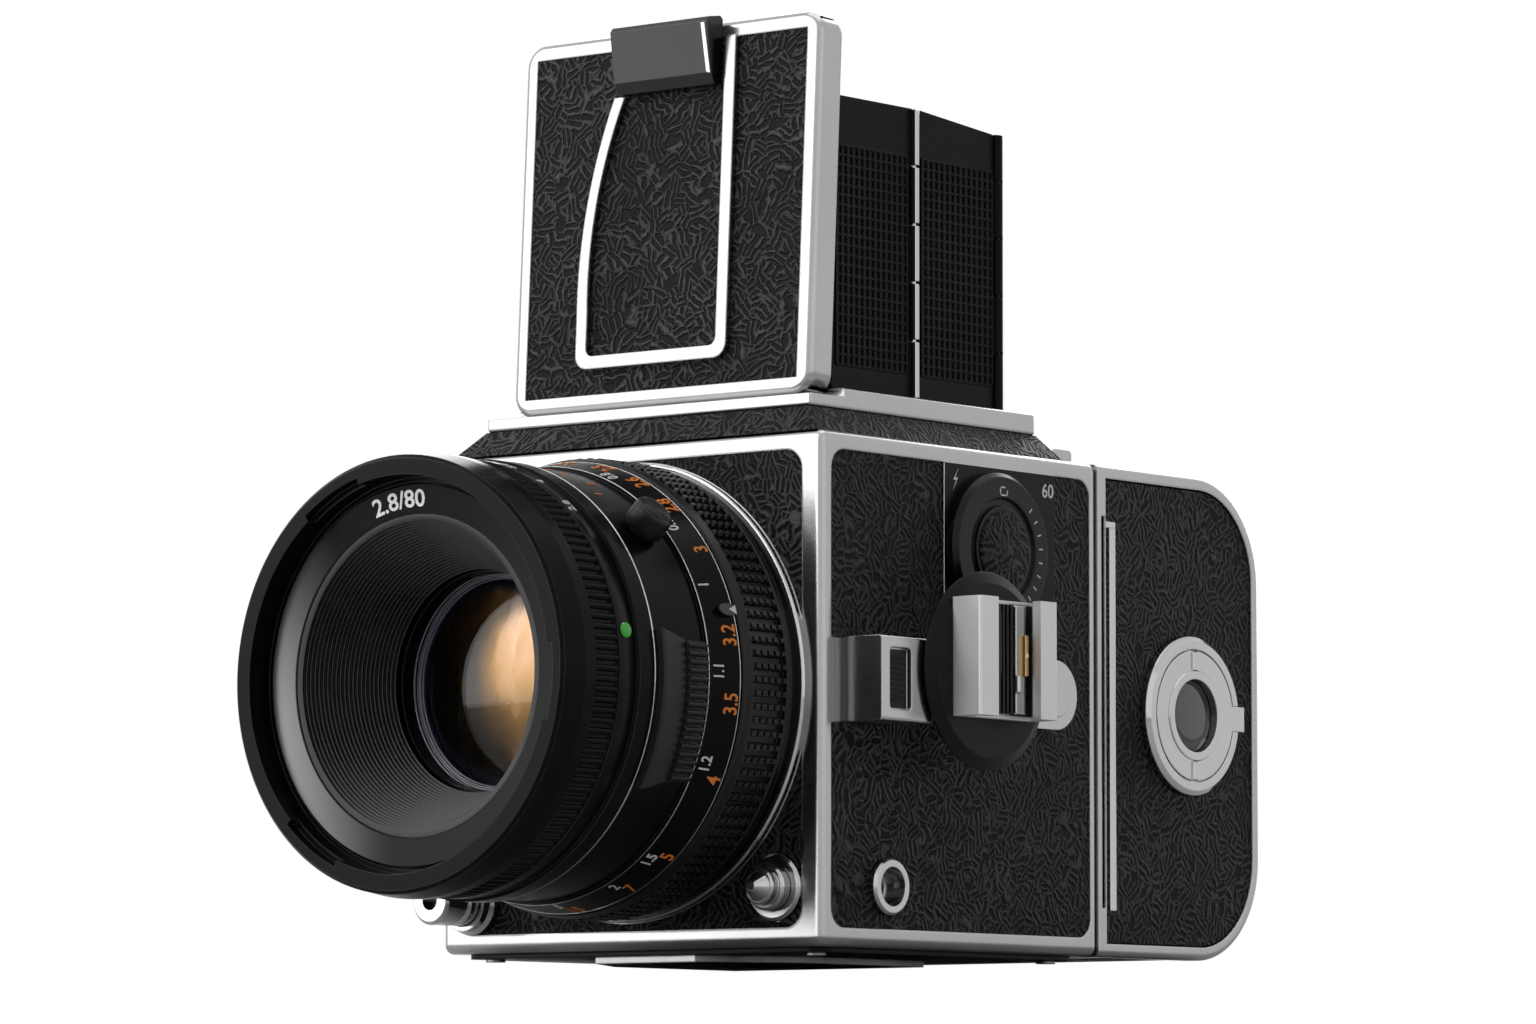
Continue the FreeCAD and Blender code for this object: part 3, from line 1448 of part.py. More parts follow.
def make_focus_ring():
    """Make the focusing ring with its rubber teeth."""
    ring = feature(
        toothed_ring(
            number("barrel_guide_radius + fit_gap"), VALUES["focus_radius"],
            number("focus_radius + focus_tooth"), VALUES["focus_length"], VALUES["focus_tooth_count"],
        ),
        ("0", FRONT + " - " + FOCUS_REAR, AXIS),
    )
    keep(ring, "focus_ring")


def make_lens_head():
    """Turn the tube of the lens head with its shutter wall, rear tube and front cell."""
    cell_end = "cell_station + cell_length"
    inner = "head_radius - head_wall"
    tail = "head_rear_radius - head_rear_wall"
    cell = "cell_radius - cell_wall"
    keep(turned("-Y", LENS, (
        (FOCUS_REAR + " + 1", inner),
        (FOCUS_REAR + " + 1", "head_radius"),
        (BEZEL_REAR, "head_radius"),
        (BEZEL_REAR, inner),
        ("cell_station + head_wall", inner),
        ("cell_station + head_wall", "cell_radius"),
        (cell_end, "cell_radius"),
        (cell_end, cell),
        ("cell_station", cell),
        ("cell_station", inner),
        ("shutter_station + shutter_wall", inner),
        ("shutter_station + shutter_wall", tail),
        ("-head_rear_reach", tail),
        ("-head_rear_reach", "head_rear_radius"),
        ("shutter_station", "head_rear_radius"),
        ("shutter_station", inner),
    )), "lens_head")


def make_head_sleeve():
    """Turn the scale band and the plain sleeve, with the flash terminal boss."""
    inner = "head_radius + hinge_gap"
    sleeve = turned("-Y", LENS, (
        (SCALE_REAR, inner),
        (SCALE_REAR, "scale_radius - 0.5"),
        (SCALE_REAR + " + 0.5", "scale_radius"),
        (SLEEVE_REAR + " - 0.6", "scale_front_radius"),
        (SLEEVE_REAR, "scale_front_radius"),
        (SLEEVE_REAR, "sleeve_radius"),
        (SLEEVE_REAR + " + sleeve_length", "sleeve_radius"),
        (SLEEVE_REAR + " + sleeve_length", inner),
    ))
    angle = VALUES["sync_angle"]
    turn = Rotation(Vector(0, 1, 0), 90 - angle)
    reach = VALUES["sleeve_radius"] - 1
    socket = feature(
        Part.makeCylinder(VALUES["sync_socket_radius"], 3.6, Vector(0, 0, reach)),
        ("0", FRONT + " - sync_station", AXIS), turn,
    )
    keep(fuse(sleeve, socket), "head_sleeve")
    shell = Part.makeCylinder(VALUES["sync_cap_radius"], VALUES["sync_cap_height"], Vector(0, 0, reach + 1.6))
    dish = Part.makeCone(1.2, VALUES["sync_cap_radius"] - 0.9, 0.9, Vector(0, 0, reach + 0.7 + VALUES["sync_cap_height"]))
    bore = Part.makeCylinder(VALUES["sync_socket_radius"] + VALUES["hinge_gap"], 2.2, Vector(0, 0, reach + 1.6))
    rim = [edge for edge in shell.Edges if edge.BoundBox.ZMin > reach + VALUES["sync_cap_height"]]
    cap = feature(
        shell.makeFillet(0.7, rim[:1]).cut(dish).cut(bore),
        ("0", FRONT + " - sync_station", AXIS), turn,
    )
    keep(cap, "sync_cap")


def make_preview_tab():
    """Make the grey lug with a serrated rear edge that slides round the sleeve."""
    inner = number("sleeve_radius + fit_gap")
    low, high = VALUES["tab_bottom_angle"], VALUES["tab_top_angle"]
    span = high - low
    back, back_length = VALUES["tab_set_back"], VALUES["tab_rear_length"]
    front_length = number("sleeve_length") - back - back_length - VALUES["fit_gap"]
    axis = Vector(0, -1, 0)

    def sector(outer, length, start):
        ring = Part.makeCylinder(outer, length, Vector(0, start, 0), axis, span)
        ring = ring.cut(Part.makeCylinder(inner, length, Vector(0, start, 0), axis, 360))
        box_turn = Part.makeCylinder(outer, length, Vector(0, start, 0), axis, span)
        return ring.common(box_turn)

    rear = sector(inner + VALUES["tab_rear_height"], back_length, -back)
    front = sector(inner + VALUES["tab_height"], front_length, -back - back_length)
    teeth = []
    count = int(span / 2.4)
    for index in range(count):
        angle = math.radians(index * span / count + span / count / 2)
        radius = inner + VALUES["tab_rear_height"]
        teeth.append(Part.makeCylinder(0.45, back + back_length + 1, Vector(radius, 0, 0), axis))
        teeth[-1].rotate(Vector(), axis, math.degrees(angle))
    lug = rear.fuse(front).removeSplitter().cut(Part.makeCompound(teeth))
    lug.rotate(Vector(), Vector(0, 1, 0), 0)
    solid = lug.Solids[0]
    start = solid.CenterOfMass
    current = math.degrees(math.atan2(start.z, start.x))
    wanted = (low + high) / 2
    solid.rotate(Vector(), axis, wanted - current)
    keep(feature(solid, ("0", FRONT + " - " + SLEEVE_REAR, AXIS)), "preview_tab")


def make_lens_rings():
    """Make the shutter ring and the ribbed aperture ring."""
    inner = "head_radius + fit_gap"
    keep(turned("-Y", LENS, (
        (SHUTTER_REAR, inner),
        (SHUTTER_REAR, "shutter_ring_radius - 0.1"),
        (SHUTTER_REAR + " + 0.1", "shutter_ring_radius"),
        (SHUTTER_REAR + " + shutter_ring_length - 0.4", "shutter_ring_radius"),
        (SHUTTER_REAR + " + shutter_ring_length", "shutter_ring_radius - 0.5"),
        (SHUTTER_REAR + " + shutter_ring_length", inner),
    )), "shutter_ring")
    plain = tube(
        "-Y", ("0", FRONT + " - " + APERTURE_REAR, AXIS), "aperture_radius", inner, "aperture_plain_length"
    )
    ribbed = feature(
        toothed_ring(
            number(inner), VALUES["aperture_radius"], number("aperture_radius + aperture_tooth"),
            number("aperture_length - aperture_plain_length"), VALUES["aperture_tooth_count"],
        ),
        ("0", FRONT + " - " + APERTURE_REAR + " - aperture_plain_length", AXIS),
    )
    keep(fuse(plain, ribbed), "aperture_ring")


def make_bezel():
    """Turn the front bezel with the name ring and the filter bayonet's notches."""
    ring = turned("-Y", LENS, (
        (BEZEL_REAR, "name_ring_inner"),
        (BEZEL_REAR, "bezel_radius - 0.4"),
        (BEZEL_REAR + " + 0.4", "bezel_radius"),
        (NAME_FACE, "bezel_radius"),
        (BEZEL_FRONT + " - 0.6", "bezel_radius - bezel_taper"),
        (BEZEL_FRONT, "bezel_radius - bezel_taper - 0.6"),
        (BEZEL_FRONT, "bezel_bore_radius"),
        (NAME_FACE + " + fit_gap", "bezel_bore_radius"),
        (NAME_FACE + " + fit_gap", "bezel_bore_radius - bezel_step"),
        (NAME_FACE + " - name_groove_depth", "bezel_bore_radius - bezel_step"),
        (NAME_FACE + " - name_groove_depth", "name_ring_radius"),
        (NAME_FACE, "name_ring_radius"),
        (NAME_FACE, "name_ring_inner"),
    ))
    outer = VALUES["bezel_bore_radius"] + VALUES["notch_depth"]
    axis = Vector(0, -1, 0)
    notches = []
    for index in range(3):
        notch = Part.makeCylinder(outer, VALUES["notch_length"], Vector(), axis, VALUES["notch_angle"])
        notch.rotate(Vector(), axis, 75 + 120 * index)
        notches.append(notch)
    tools = feature(
        Part.makeCompound(notches), ("0", FRONT + " - " + BEZEL_FRONT + " + notch_length", AXIS)
    )
    keep(cut(ring, tools), "front_bezel")


def make_baffle():
    """Turn the stepped baffle cone behind the name ring."""
    steps = VALUES["baffle_steps"]
    front = NAME_FACE + " - fit_gap"
    run = "(baffle_depth / %d)" % steps
    drop = "((name_ring_inner - fit_gap - baffle_inner) / %d)" % steps
    inner = []
    for index in range(steps):
        radius = "name_ring_inner - fit_gap - baffle_wall - %d * %s" % (index, drop)
        inner.append(("%s - %d * %s" % (front, index, run), radius))
        inner.append(("%s - %d * %s" % (front, index + 1, run), radius))
    outer = [
        ("%s - baffle_depth" % front, "baffle_inner - baffle_wall + %s + baffle_wall" % drop),
        (front, "name_ring_inner - fit_gap"),
    ]
    keep(turned("-Y", LENS, inner + outer), "baffle_cone")


def make_lens_glass():
    """Turn the front and rear glass and lay out the iris blades."""
    front_radius = number("cell_radius - cell_wall - fit_gap")
    rear_radius = number("head_rear_radius - head_rear_wall - fit_gap")

    def lens(radius, thickness, dome):
        ball = (radius ** 2 + dome ** 2) / (2 * dome)
        body = Part.makeCylinder(radius, thickness + dome, Vector(), Vector(0, -1, 0))
        sphere = Part.makeSphere(ball, Vector(0, -(thickness + dome - ball), 0))
        return body.common(sphere)

    front = feature(
        lens(front_radius, VALUES["glass_thickness"], VALUES["glass_dome"]),
        ("0", FRONT + " - (cell_station + cell_length - glass_thickness - glass_dome)", AXIS),
    )
    rear = feature(
        Part.makeCylinder(rear_radius, VALUES["rear_glass_thickness"], Vector(), Vector(0, -1, 0)),
        ("0", FRONT + " + head_rear_reach - 0.6", AXIS),
    )
    keep(group(front, rear), "lens_elements")
    count = VALUES["iris_blade_count"]
    outer = number("head_radius - head_wall - part_gap")
    wide = 1.25 * VALUES["iris_opening"]
    blades = []
    for index in range(count):
        blade = Part.makeCylinder(outer, VALUES["iris_thickness"], Vector(), Vector(0, -1, 0), 360 / count - 3)
        hole = Part.makeCylinder(wide, 1, Vector(), Vector(0, -1, 0))
        blade = blade.cut(hole)
        blade.rotate(Vector(), Vector(0, -1, 0), index * 360 / count)
        blades.append(blade)
    keep(feature(
        Part.makeCompound(blades), ("0", FRONT + " - (shutter_station + shutter_wall)", AXIS)
    ), "iris_blades")


# Film magazine

def hooks(radius, more="0"):
    """Make the two round hooks at the magazine's foot, or the room for them."""
    level = BOTTOM + " + hook_rise"
    return [
        rod("+X", (start + " - (%s)" % more, "(body_depth / 2 + magazine_gap / 2)", level), radius, "hook_length + 2 * (%s)" % more)
        for start in ("-hook_offset - hook_length", "hook_offset")
    ]


def magazine_block(inset, x, front_inset="0"):
    """Make a block with the magazine's outline, smaller by an inset."""
    item = block(
        x,
        (MAGAZINE_FRONT + " + " + front_inset, "%s - (%s)" % (MAGAZINE_BACK, inset)),
        ("%s + (%s)" % (BOTTOM, inset), "%s - (%s)" % (TOP, inset)),
    )
    back = number(MAGAZINE_BACK) - number(inset) - 0.01
    return rounded(item, "magazine_corner - (%s)" % inset, parallel("X", lambda middle: middle.y > back))


def make_magazine_shell():
    """Make the magazine's shell with the film gate, the slot and the side opening."""
    outer = magazine_block("0", across(SIDE))
    doc.recompute()
    edge = [
        item for item in outer.Shape.Edges
        if abs(abs(item.CenterOfMass.x) - number(SIDE)) < 1e-6 and item.CenterOfMass.y > number(MAGAZINE_FRONT) + 1
    ]
    lengths = {round(item.Length, 3) for item in edge}
    outer = rounded(outer, "magazine_edge", lambda item: (
        abs(abs(item.CenterOfMass.x) - number(SIDE)) < 1e-6
        and item.CenterOfMass.y > number(MAGAZINE_FRONT) + 1
        and round(item.Length, 3) in lengths
    ))
    cavity = magazine_block(
        "magazine_wall", ("magazine_wall - " + SIDE, SIDE + " - insert_sink - insert_plate"), "magazine_front_wall"
    )
    mouth = magazine_block("magazine_rim", (SIDE + " - insert_sink - insert_plate - 0.1", SIDE + " + 1"), "magazine_rim")
    gate = block(
        across("film_gate / 2"),
        (MAGAZINE_FRONT, MAGAZINE_FRONT + " + magazine_front_wall"),
        (AXIS + " - film_gate / 2", AXIS + " + film_gate / 2"),
    )
    slot = block(
        ("2 * magazine_wall - " + SIDE, SIDE + " + 1"),
        (MAGAZINE_FRONT + " + 1", MAGAZINE_FRONT + " + 1 + dark_slide_slot"),
        ("dark_slide_bottom", "dark_slide_top"),
    )
    wrap = cut(
        magazine_block("-1", across(SIDE + " - magazine_rim - 1"), "6"),
        magazine_block("panel_recess", across(SIDE), "6"),
    )
    crank_hole = rod(
        "-X", ("4 * magazine_wall - " + SIDE, "key_back", "key_level"), "gudgeon_radius + fit_gap", "6 * magazine_wall"
    )
    side_skin = magazine_block("magazine_rim", ("-" + SIDE, "panel_recess - " + SIDE), "magazine_rim")
    shell = cut(outer, cavity, mouth, gate, slot, wrap, crank_hole, side_skin)
    keep(fuse(shell, *hooks("hook_radius")), "magazine_shell")


def make_magazine_coverings():
    """Cut the leather round the back and on the winding side of the magazine."""
    skin = cut(
        magazine_block("panel_recess - leather_thickness", across(SIDE + " - magazine_rim - 1 - fit_gap"), "6 + fit_gap"),
        magazine_block("panel_recess", across(SIDE), "0"),
    )
    side = cut(
        magazine_block(
            "magazine_rim + fit_gap",
            ("panel_recess - leather_thickness - " + SIDE, "panel_recess - " + SIDE),
            "magazine_rim + fit_gap",
        ),
        rod("-X", ("panel_recess - " + SIDE, "key_back", "key_level"), "gudgeon_radius + fit_gap", "panel_recess"),
    )
    keep(group(skin, side), "magazine_coverings")


INSERT_FACE = "(%s - insert_sink)" % SIDE


def make_film_insert():
    """Make the film insert: end plate, pressure plate and inner cheek with spool gudgeons."""
    plate = magazine_block(
        "magazine_rim + fit_gap", (INSERT_FACE + " - insert_plate", INSERT_FACE), "magazine_rim + fit_gap"
    )
    pressure = block(
        ("-insert_inner_end", INSERT_FACE + " - insert_plate"),
        (MAGAZINE_FRONT + " + magazine_front_wall + part_gap", MAGAZINE_FRONT + " + magazine_front_wall + part_gap + 1.5"),
        (AXIS + " - film_gate / 2 - 2", AXIS + " + film_gate / 2 + 2"),
    )
    cheek = block(
        ("-insert_inner_end - insert_cheek", "-insert_inner_end"),
        (MAGAZINE_FRONT + " + magazine_front_wall + part_gap", "spool_back + 4"),
        ("spool_low - 4", "spool_high + 4"),
    )
    gudgeons = []
    for level in ("spool_low", "spool_high"):
        gudgeons.append(rod("+X", ("-insert_inner_end", "spool_back", level), "gudgeon_radius", "gudgeon_length"))
        gudgeons.append(rod(
            "-X", (INSERT_FACE + " - insert_plate", "spool_back", level), "gudgeon_radius", "gudgeon_length"
        ))
    hole = rod("+X", (INSERT_FACE + " - 2 * insert_plate", "key_back", "key_level"), "key_window_radius", "3 * insert_plate")
    keep(cut(fuse(plate, pressure, cheek, *gudgeons), hole), "film_insert")
    leather = magazine_block(
        "magazine_rim + 3 * fit_gap", (INSERT_FACE, INSERT_FACE + " + 0.6"), "magazine_rim + 3 * fit_gap"
    )
    ring = rod("+X", (INSERT_FACE + " - 1", "key_back", "key_level"), "key_radius + fit_gap", "3")
    keep(cut(leather, ring), "insert_covering")


def make_spool(label, level):
    """Turn a film spool with its roll of film."""
    length = "insert_inner_end + %s - insert_plate - 2 * part_gap" % INSERT_FACE
    far = "(%s)" % length
    keep(turned("+X", ("part_gap - insert_inner_end", "spool_back", level), (
        ("0", "gudgeon_radius + fit_gap"),
        ("0", "spool_flange_radius"),
        ("spool_flange", "spool_flange_radius"),
        ("spool_flange", "film_roll_radius"),
        (far + " - spool_flange", "film_roll_radius"),
        (far + " - spool_flange", "spool_flange_radius"),
        (far, "spool_flange_radius"),
        (far, "gudgeon_radius + fit_gap"),
    )), label)


KEY_FACE = "(%s + hinge_gap)" % INSERT_FACE
KEY = (KEY_FACE, "key_back", "key_level")


def make_key():
    """Turn the film key and make the half disc that folds out as its grip."""
    base = turned("+X", KEY, (
        ("0", "key_window_radius"),
        ("0", "key_radius"),
        ("key_flange - 0.6", "key_radius"),
        ("key_flange", "key_radius - 0.8"),
        ("key_flange", "key_disc_radius + part_gap"),
        ("key_flange - key_plate", "key_disc_radius + part_gap"),
        ("key_flange - key_plate", "key_window_radius + 1.4"),
        ("key_flange + 0.2", "key_window_radius + 1.4"),
        ("key_flange + 0.2", "key_window_radius"),
    ))
    groove = block(
        (KEY_FACE + " + key_flange - key_plate", KEY_FACE + " + key_flange + 1"),
        ("key_back + key_disc_radius", "key_back + key_radius + 1"),
        ("key_level - key_tab_width / 2 - fit_gap", "key_level + key_tab_width / 2 + fit_gap"),
    )
    hollow_low = KEY_FACE + " + key_flange - key_plate"
    fixed_ring = tube(
        "+X", (hollow_low, "key_back", "key_level"), "key_disc_radius", "key_window_radius + 1.4", "key_plate"
    )
    fixed_half = common(fixed_ring, block(
        (hollow_low, hollow_low + " + key_plate"), ("key_back - key_radius", "key_back - 0.7"),
        ("key_level - key_radius", "key_level + key_radius"),
    ))
    window = rod("+X", KEY, "key_window_radius", "0.6")
    keep(fuse(cut(base, groove), fixed_half, window), "insert_key")
    lifted = hollow_low + " + hinge_gap"
    ring = tube(
        "+X", (lifted, "key_back", "key_level"), "key_disc_radius", "key_window_radius + 1.4 + fit_gap",
        "key_plate - hinge_gap",
    )
    half = common(ring, block(
        (hollow_low, hollow_low + " + key_plate"), ("key_back + 0.7", "key_back + key_radius"),
        ("key_level - key_radius", "key_level + key_radius"),
    ))
    barrels = []
    for low in ("key_level - key_disc_radius + 0.2", "key_level + key_window_radius + 1.6"):
        length = "key_disc_radius - key_window_radius - 1.8"
        centre = hollow_low + " + (key_plate + hinge_gap) / 2"
        radius = "(key_plate - hinge_gap) / 2"
        barrels.append(rod("+Z", (centre, "key_back", low), radius, length))
        barrels.append(block(
            (lifted, hollow_low + " + key_plate"), ("key_back", "key_back + 1"), (low, "%s + %s" % (low, length))
        ))
    tab = block(
        (lifted, hollow_low + " + key_plate"),
        ("key_back + key_disc_radius - 1", "key_back + key_tab_reach"),
        ("key_level - key_tab_width / 2", "key_level + key_tab_width / 2"),
    )
    keep(fuse(half, tab, *barrels), "key_bail")


def make_magazine_controls():
    """Make the film crank on the winding side and the catch on the magazine's top."""
    disc = turned("-X", ("-" + SIDE, "key_back", "key_level"), (
        ("-2 * magazine_wall", "0"),
        ("-2 * magazine_wall", "gudgeon_radius"),
        ("part_gap", "gudgeon_radius"),
        ("part_gap", "magazine_crank_radius"),
        ("part_gap + magazine_crank_depth - 0.5", "magazine_crank_radius"),
        ("part_gap + magazine_crank_depth", "magazine_crank_radius - 0.5"),
        ("part_gap + magazine_crank_depth", "0"),
    ))
    grip = block(
        ("-(%s + part_gap + magazine_crank_depth + 1.6)" % SIDE, "-(%s + part_gap + magazine_crank_depth - 0.5)" % SIDE),
        ("key_back - 2.5", "key_back + 2.5"),
        ("key_level - magazine_crank_radius + 1", "key_level + magazine_crank_radius - 1"),
    )
    keep(fuse(disc, grip), "magazine_crank")
    low = TOP + " + fit_gap / 2"
    slider = rounded(
        block(
            across("catch_width / 2"),
            (MAGAZINE_FRONT + " + 0.6", MAGAZINE_FRONT + " + 0.6 + catch_depth - 1"),
            (low, TOP + " + catch_height"),
        ),
        "part_gap * 2",
        parallel("X", lambda middle: middle.z > number(TOP) + 1),
    )
    keep(slider, "magazine_catch")


def make_screws():
    """Lay out the screws of the base plate and the foot as one group."""
    places = [
        (x, y)
        for x in ("(%s - base_plate_margin - 4)" % SIDE, "-(%s - base_plate_margin - 4)" % SIDE)
        for y in ("(%s + base_plate_margin + 4)" % FRONT, "(%s - base_plate_margin - 4)" % BACK)
    ]
    screws = []
    for x, y in places:
        head = rod(
            "+Z", (x, y, BOTTOM + " - base_plate_thickness - screw_head_height"), "screw_head_radius",
            "screw_head_height",
        )
        screws.append(head)
    keep(group(*screws), "base_screws")


# Build

make_body_casting()
make_body_coverings()
make_base()
make_mount_ring()
make_mirror_chamber()
make_screen()
make_mirror()
make_flaps()
make_fittings()
make_buttons()
make_rail()
make_shoe()
make_speed_dial()
make_crank()
make_mirror_lever()
make_lid(make_finder_base())
make_hood_sides()
make_lid_plate()
make_magnifier()
make_lens_barrel()
make_focus_ring()
make_lens_head()
make_head_sleeve()
make_preview_tab()
make_lens_rings()
make_bezel()
make_baffle()
make_lens_glass()
make_magazine_shell()
make_magazine_coverings()
make_film_insert()
make_spool("supply_spool", "spool_low")
make_spool("takeup_spool", "spool_high")
make_key()
make_magazine_controls()
make_screws()

doc.recompute()
failed = [item.Name for item in doc.Objects if "Invalid" in item.State or "Error" in item.State]
if failed:
    raise RuntimeError("failed objects: " + ", ".join(failed))
os.makedirs("parts", exist_ok=True)
for item in subparts:
    if item.Shape.isNull() or not item.Shape.isValid() or not item.Shape.Solids:
        raise RuntimeError("bad shape: " + item.Label)
    item.Shape.exportStep("parts/%s.step" % item.Label)
    box = item.Shape.BoundBox
    print("%-22s solids %d  x %.1f %.1f  y %.1f %.1f  z %.1f %.1f" % (
        item.Label, len(item.Shape.Solids), box.XMin, box.XMax, box.YMin, box.YMax, box.ZMin, box.ZMax
    ))
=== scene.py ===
"""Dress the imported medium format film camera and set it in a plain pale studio."""

import logging
import math
from dataclasses import dataclass, field
from enum import Enum
from typing import Iterable, Sequence

import bmesh
import bpy
from mathutils import Matrix, Vector

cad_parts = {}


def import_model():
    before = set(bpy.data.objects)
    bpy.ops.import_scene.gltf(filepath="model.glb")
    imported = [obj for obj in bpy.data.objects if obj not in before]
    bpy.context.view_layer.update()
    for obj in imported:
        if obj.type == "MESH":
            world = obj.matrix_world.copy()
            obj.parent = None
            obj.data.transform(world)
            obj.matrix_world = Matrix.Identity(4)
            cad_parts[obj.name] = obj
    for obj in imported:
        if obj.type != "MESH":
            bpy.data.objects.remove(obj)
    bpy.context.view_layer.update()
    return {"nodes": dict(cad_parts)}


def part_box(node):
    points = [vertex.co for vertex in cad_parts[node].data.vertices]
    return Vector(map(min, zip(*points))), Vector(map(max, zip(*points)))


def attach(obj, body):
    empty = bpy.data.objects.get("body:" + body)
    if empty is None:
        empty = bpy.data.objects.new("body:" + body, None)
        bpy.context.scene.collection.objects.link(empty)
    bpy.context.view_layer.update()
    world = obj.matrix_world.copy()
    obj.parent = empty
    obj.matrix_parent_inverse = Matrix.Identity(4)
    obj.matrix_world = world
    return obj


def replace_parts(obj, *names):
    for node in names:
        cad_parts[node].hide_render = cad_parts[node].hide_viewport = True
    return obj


LOG = logging.getLogger("camera")
MM = 0.001
FULL_TURN = 2 * math.pi
LENS_HEIGHT = 45.6
BODY_FRONT = -38.5
BODY_SIDE = 42.0

# How far a detail's foot is sunk into what it lies on, in millimetres.
SINK = 0.05
# Points of one piece that are nearer than this, in metres, become one.
WELD_DISTANCE = 1e-7
EDGE_COSINE = 0.995
EDGE_GAIN = 12.0
FIGURE_STEPS = 3

Colour = tuple[float, float, float]
Point = tuple[float, float, float]
Pair = tuple[float, float]
Box = tuple[float, float, float, float]
Block = tuple[Point, Box, float, float]

RIGHT: Point = (1.0, 0.0, 0.0)
BACK: Point = (0.0, 1.0, 0.0)
UP: Point = (0.0, 0.0, 1.0)


def turns(steps: int) -> list[float]:
    """Give the angles of the steps of a full turn, in radians."""
    return [FULL_TURN * step / steps for step in range(steps)]


# Shader graphs

class Wire:
    """Wrap a node's output, so that arithmetic on it adds Math nodes."""

    def __init__(self, graph: "Graph", socket: bpy.types.NodeSocket) -> None:
        """Keep the graph and the output."""
        self.graph = graph
        self.socket = socket

    def maths(self, operation: str, *terms: "Wire | float") -> "Wire":
        """Add one Math node.

        Args:
            operation: The Math node's operation.
            terms: The values or wires of its inputs, in order.

        Returns:
            The node's output.
        """
        return self.graph.node("ShaderNodeMath", {"operation": operation}, dict(enumerate(terms)))

    def other(self, output: int | str) -> "Wire":
        """Give another output of the same node."""
        return Wire(self.graph, self.socket.node.outputs[output])

    def __add__(self, term: "Wire | float") -> "Wire":
        """Add a term."""
        return self.maths("ADD", self, term)

    def __radd__(self, term: float) -> "Wire":
        """Add this to a number."""
        return self.maths("ADD", term, self)

    def __sub__(self, term: "Wire | float") -> "Wire":
        """Take a term away."""
        return self.maths("SUBTRACT", self, term)

    def __rsub__(self, term: float) -> "Wire":
        """Take this away from a number."""
        return self.maths("SUBTRACT", term, self)

    def __mul__(self, term: "Wire | float") -> "Wire":
        """Multiply by a term."""
        return self.maths("MULTIPLY", self, term)

    def __rmul__(self, term: float) -> "Wire":
        """Multiply a number by this."""
        return self.maths("MULTIPLY", term, self)

    def __truediv__(self, term: "Wire | float") -> "Wire":
        """Divide by a term."""
        return self.maths("DIVIDE", self, term)

    def __gt__(self, term: "Wire | float") -> "Wire":
        """Give 1 where this is over a term, and 0 elsewhere."""
        return self.maths("GREATER_THAN", self, term)

    def __lt__(self, term: "Wire | float") -> "Wire":
        """Give 1 where this is under a term, and 0 elsewhere."""
        return self.maths("LESS_THAN", self, term)

    def sine(self) -> "Wire":
        """Give the sine."""
        return self.maths("SINE", self)

    def size(self) -> "Wire":
        """Give the absolute value."""
        return self.maths("ABSOLUTE", self)

    def root(self) -> "Wire":
        """Give the square root."""
        return self.maths("SQRT", self)

    def kept(self) -> "Wire":
        """Keep the value between 0 and 1."""
        return self.maths("MINIMUM", self.maths("MAXIMUM", self, 0.0), 1.0)


